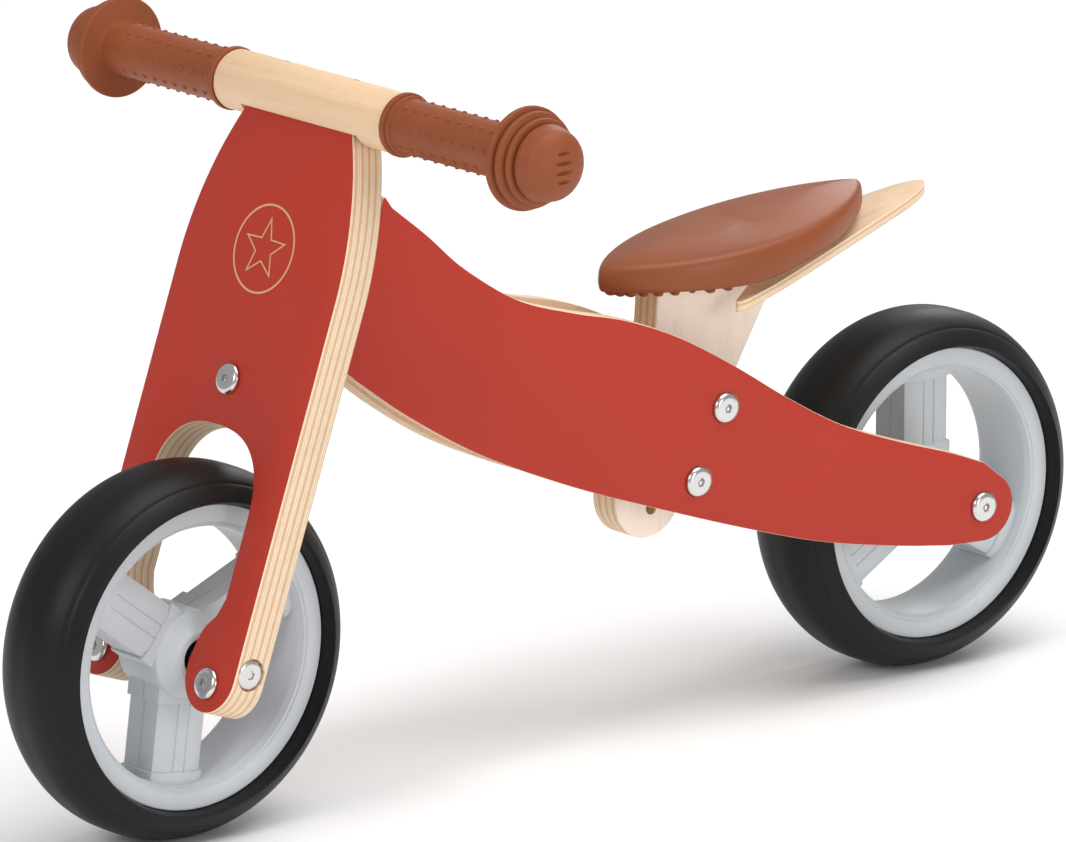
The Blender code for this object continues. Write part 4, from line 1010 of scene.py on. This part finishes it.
def tail_plate():
    side = curve_through([(TAIL_TIP, 0.0), (-0.2265, 0.0050), (-0.2140, 0.0105), (-0.1900, 0.0160),
                          (-0.1500, 0.0240), (-0.1150, 0.0305), (-0.0930, 0.0328)], 8)
    side += curve_through([(-0.0895, 0.0325), (-0.0872, 0.0308), (-0.0874, 0.0288)], 4)
    half = SEAT_BOARD_THICKNESS / 2 + GAP
    side += [(TAIL_CLEFT + 0.0010, half), (TAIL_CLEFT, half)]
    outline = side + [(x, -y) for x, y in reversed(side[1:])]
    thick = TAIL_THICKNESS * hypot(1, TAIL_SLOPE)
    points = [(x, y, tail_top(x) - drop) for drop in (0, thick) for x, y in outline]
    normal = Vector((TAIL_SLOPE, 0, 1)).normalized()
    middle = (TAIL_TIP, 0, tail_top(TAIL_TIP) - thick / 2)
    edge = ply_edge("tail_ply", middle, normal, TAIL_THICKNESS, 3)
    plate = add_mesh("tail_plate_shown", points, wall_faces(len(outline)),
                     [FINISHES["tail_birch"], edge])
    ease_edges(plate, 0.0004, 2, 40)
    face_finish(plate, lambda way, spot: 0 if abs(way.dot(normal)) > FACING else 1)
    soften(plate, 30)
    return show(plate, "frame", "birch", "tail_plate")


def saddle_ring(inset, rise, count=144):
    ring = []
    for i in range(count):
        turn = 2 * pi * i / count
        x = SADDLE_CENTRE + SADDLE_HALF_LENGTH * cos(turn)
        y = saddle_half_width(x) * (1 if sin(turn) >= 0 else -1)
        far = hypot(x - SADDLE_CENTRE, y)
        scale = max(0.0, 1 - inset / far)
        x = SADDLE_CENTRE + (x - SADDLE_CENTRE) * scale
        ring.append((x, y * scale, saddle_underside(x) + rise))
    return ring


def saddle_cushion():
    """Firm padded top whose cover wraps the edge and is gathered underneath."""
    section = [(0.0095, 0.0030), (0.0090, 0.0010), (0.0082, 0.0001), (0.0050, -0.0002), (0.0026, 0.0000),
               (0.0012, 0.0006), (0.0004, 0.0016), (0.0, 0.0030), (-0.0002, 0.0048), (-0.0001, 0.0068),
               (0.0002, 0.0086), (0.0007, 0.0100), (0.0015, 0.0111), (0.0026, 0.0119), (0.0042, 0.0126),
               (0.0065, 0.0132), (0.0095, 0.0138), (0.0130, 0.0144), (0.0175, 0.0150), (0.0230, 0.0156),
               (0.0290, 0.0161), (0.0350, 0.0164)]
    rings = []
    for inset, rise in section:
        share = min(1.0, max(0.0, (rise - 0.0030) / 0.0085))
        rings.append([(x, y, z + share * saddle_fill(x)) for x, y, z in saddle_ring(inset, rise)])
    count = len(rings[0])
    points = [point for ring in rings for point in ring]
    faces = [face[::-1] for face in band_faces(count, len(rings))]
    last = (len(rings) - 1) * count
    for i in range(count // 2):
        strip = list(dict.fromkeys([i, i + 1, count - i - 1, (count - i) % count]))
        faces.append(strip[::-1])
        faces.append([last + corner for corner in strip])
    cushion = add_mesh("saddle_cushion_shown", points, faces, [FINISHES["leather"]])
    soften(cushion, 80)
    show(cushion, "frame", "brown_leather", "saddle_cushion")


def saddle_gathers():
    """Small folds of the cover where it is drawn in under the saddle's edge."""
    fold = oval("fold_source", (0.0017, 0.0030, 0.0016))
    ring = saddle_ring(0.0062, -0.0004, 96)
    spots = [(spot, (0, 0, -1)) for spot in ring[::2] if spot[0] > SADDLE_CENTRE + 0.018]
    folds = stand_copies("saddle_gathers", spots, fold, FINISHES["leather"], 1.0, 0.35, 11)
    bpy.data.objects.remove(fold, do_unlink=True)
    show(folds, "frame", "brown_leather")


# Wheels


def tyre_profile():
    """Section from the middle of the tread round the shoulder to the bead, on one side."""
    centre = WHEEL_RADIUS - TYRE_ROUND
    side = [(WHEEL_RADIUS, 0.0015)]
    for turn in (*range(0, 41, 4), 41, 42, *range(46, 63, 4)):
        reach = TYRE_ROUND - TYRE_GROOVE if turn == 41 else TYRE_ROUND
        side.append((centre + reach * cos(radians(turn)), TYRE_FLAT + reach * sin(radians(turn))))
    side += [(0.07275, 0.0262), (0.07225, 0.0252), (0.0720, 0.0240), (0.0717, 0.0226), (0.0713, 0.0210),
             (0.0713, 0.0150), (0.0663, 0.0148)]
    return side


def tyre(word, x):
    side = tyre_profile()
    profile = [(radius, -offset) for radius, offset in reversed(side)] + side
    ring = turned(word + "_tyre_shown", profile, [FINISHES["foam"]], along_y(x, WHEEL_RADIUS), 180)
    soften(ring, 38)
    show(ring, word + "_wheel", "black_foam", word + "_tyre")


def barrel_profile():
    half = RIM_HALF_WIDTH
    side = [(0.0660, 0.0146), (0.0706, 0.0146), (0.0710, 0.0150), (0.0710, half - 0.0005), (0.0705, half),
            (0.0634, half), (0.0631, half - 0.0002), (0.0629, half - 0.0007), (0.0627, half - 0.0010),
            (0.0621, half - 0.0011), (0.0618, half - 0.0008), (0.0614, half - 0.0008),
            (0.0611, half - 0.0013), (0.0609, half - 0.0022), (0.0603, half - 0.0030),
            (0.0600, half - 0.0046)]
    return [(radius, -offset) for radius, offset in reversed(side)] + side


def hub_profile():
    half = [(0.0090, 0.0200), (0.0093, 0.0205), (0.0118, 0.0205), (0.0123, 0.0203), (0.0126, 0.0196),
            (0.0128, 0.0190), (0.0140, 0.0180), (0.0158, 0.0166), (0.0176, 0.0153), (0.0192, 0.0146),
            (0.0203, 0.0140), (0.0207, 0.0130), (0.0207, 0.0)]
    return half + [(radius, -height) for radius, height in reversed(half[:-1])]


def spoke_section(width, depth, grooves):
    """A spoke's box section as (across, along the axle), its two halves mirrored."""
    half, deep = width / 2, depth / 2
    notch = 0.0005
    line = [(0.0, deep)]
    for spot in grooves:
        line += [(spot - notch, deep), (spot, deep - 1.1 * notch), (spot + notch, deep)]
    line += [(half - 0.0046, deep), (half, deep - 0.0022), (half, notch * 1.2), (half - notch * 1.1, 0.0)]
    right = line + [(across, -along) for across, along in reversed(line[:-1])]
    return right + [(-across, along) for across, along in reversed(right[1:-1])]


def spoke_piece(start, end, width, depth, grooves=()):
    """Box along local z with its section in x and y, rounded a little where it ends."""
    section = spoke_section(width, depth, grooves)
    count = len(section)
    levels = [(start, 0.97), (start + 0.0004, 1.0), (end - 0.0004, 1.0), (end, 0.97)]
    points = [(across * scale, along * scale, level) for level, scale in levels
              for across, along in section]
    caps = [list(range(count)), list(range(4 * count - 1, 3 * count - 1, -1))]
    return points, caps + band_faces(count, len(levels))


def spokes(word, x, first):
    """One spoke with its sleeves, repeated round the axle."""
    points, faces = [], []
    for piece in (spoke_piece(0.0125, 0.0612, 0.0270, 0.0248, (0.0032,)),
                  spoke_piece(0.0130, 0.0226, 0.0294, 0.0272),
                  spoke_piece(0.0545, 0.0616, 0.0292, 0.0268)):
        shift = len(points)
        points += piece[0]
        faces += [[corner + shift for corner in face] for face in piece[1]]
    group = add_mesh(word + "_spokes", points, faces, [FINISHES["grey"]])
    run_tree(group, TREES["axle"], Copies=3, First_Turn=first, Centre=(x, 0.0, WHEEL_RADIUS),
             Finish=FINISHES["grey"])
    soften(group, 28)
    show(group, word + "_wheel", "grey_plastic")


def wheel(word, x, first):
    tyre(word, x)
    axle = along_y(x, WHEEL_RADIUS)
    barrel = turned(word + "_rim_shown", barrel_profile(), [FINISHES["grey"]], axle, 180)
    soften(barrel, 38)
    show(barrel, word + "_wheel", "grey_plastic", word + "_rim")
    hub = turned(word + "_hub", hub_profile(), [FINISHES["grey"]], axle)
    soften(hub, 40)
    show(hub, word + "_wheel", "grey_plastic")
    spokes(word, x, first)


# Pieces kept from the solid model


def dress_kept_nodes():
    slots = {entry["node"]: entry["material_slot"] for entry in frame["record"]["subparts"]}
    finishes = {
        "birch": FINISHES["seat_birch"],
        "black_nylon": FINISHES["nylon"],
        "nickel_plate": FINISHES["nickel"],
        "zinc_plate": FINISHES["zinc"],
        "brown_leather": FINISHES["leather"],
        "brown_rubber": FINISHES["rubber"],
        "black_foam": FINISHES["foam"],
        "grey_plastic": FINISHES["grey"],
        "red_paint": FINISHES["paint"],
    }
    for name, node in frame["nodes"].items():
        finish = finishes[slots[name]]
        if not node.material_slots:
            node.data.materials.append(finish)
        for place in node.material_slots:
            place.material = finish


add_camera()
add_studio()
add_floor()
FINISHES = {
    "paint": red_paint(),
    "bar_birch": birch("bar_birch", 1),
    "seat_birch": birch("seat_birch", 2, 1.14, 0.55),
    "panel_birch": birch("panel_birch", 0),
    "tail_birch": birch("tail_birch", 0, 0.90),
    "rubber": moulded_rubber(),
    "leather": leatherette(),
    "foam": tyre_foam(),
    "grey": rim_plastic(),
    "nylon": rim_plastic("black_nylon", (0.02, 0.02, 0.022), 0.4),
    "nickel": plated("nickel_plate", (0.72, 0.71, 0.70), 0.2),
    "zinc": plated("zinc_plate", (0.55, 0.56, 0.57), 0.36),
}
TREES = {"copies": copies_tree(), "axle": round_axle_tree()}
dress_kept_nodes()
fork_board()
printed_motif()
handlebar()
grip("left", 1)
grip("right", -1)
fork_bolts()
side_panel("left", 1)
side_panel("right", -1)
frame_bolts()
seat_board()
tail_plate()
saddle_cushion()
saddle_gathers()
wheel("front", AXLE_X, radians(172.3))
wheel("rear", -AXLE_X, 0.0)
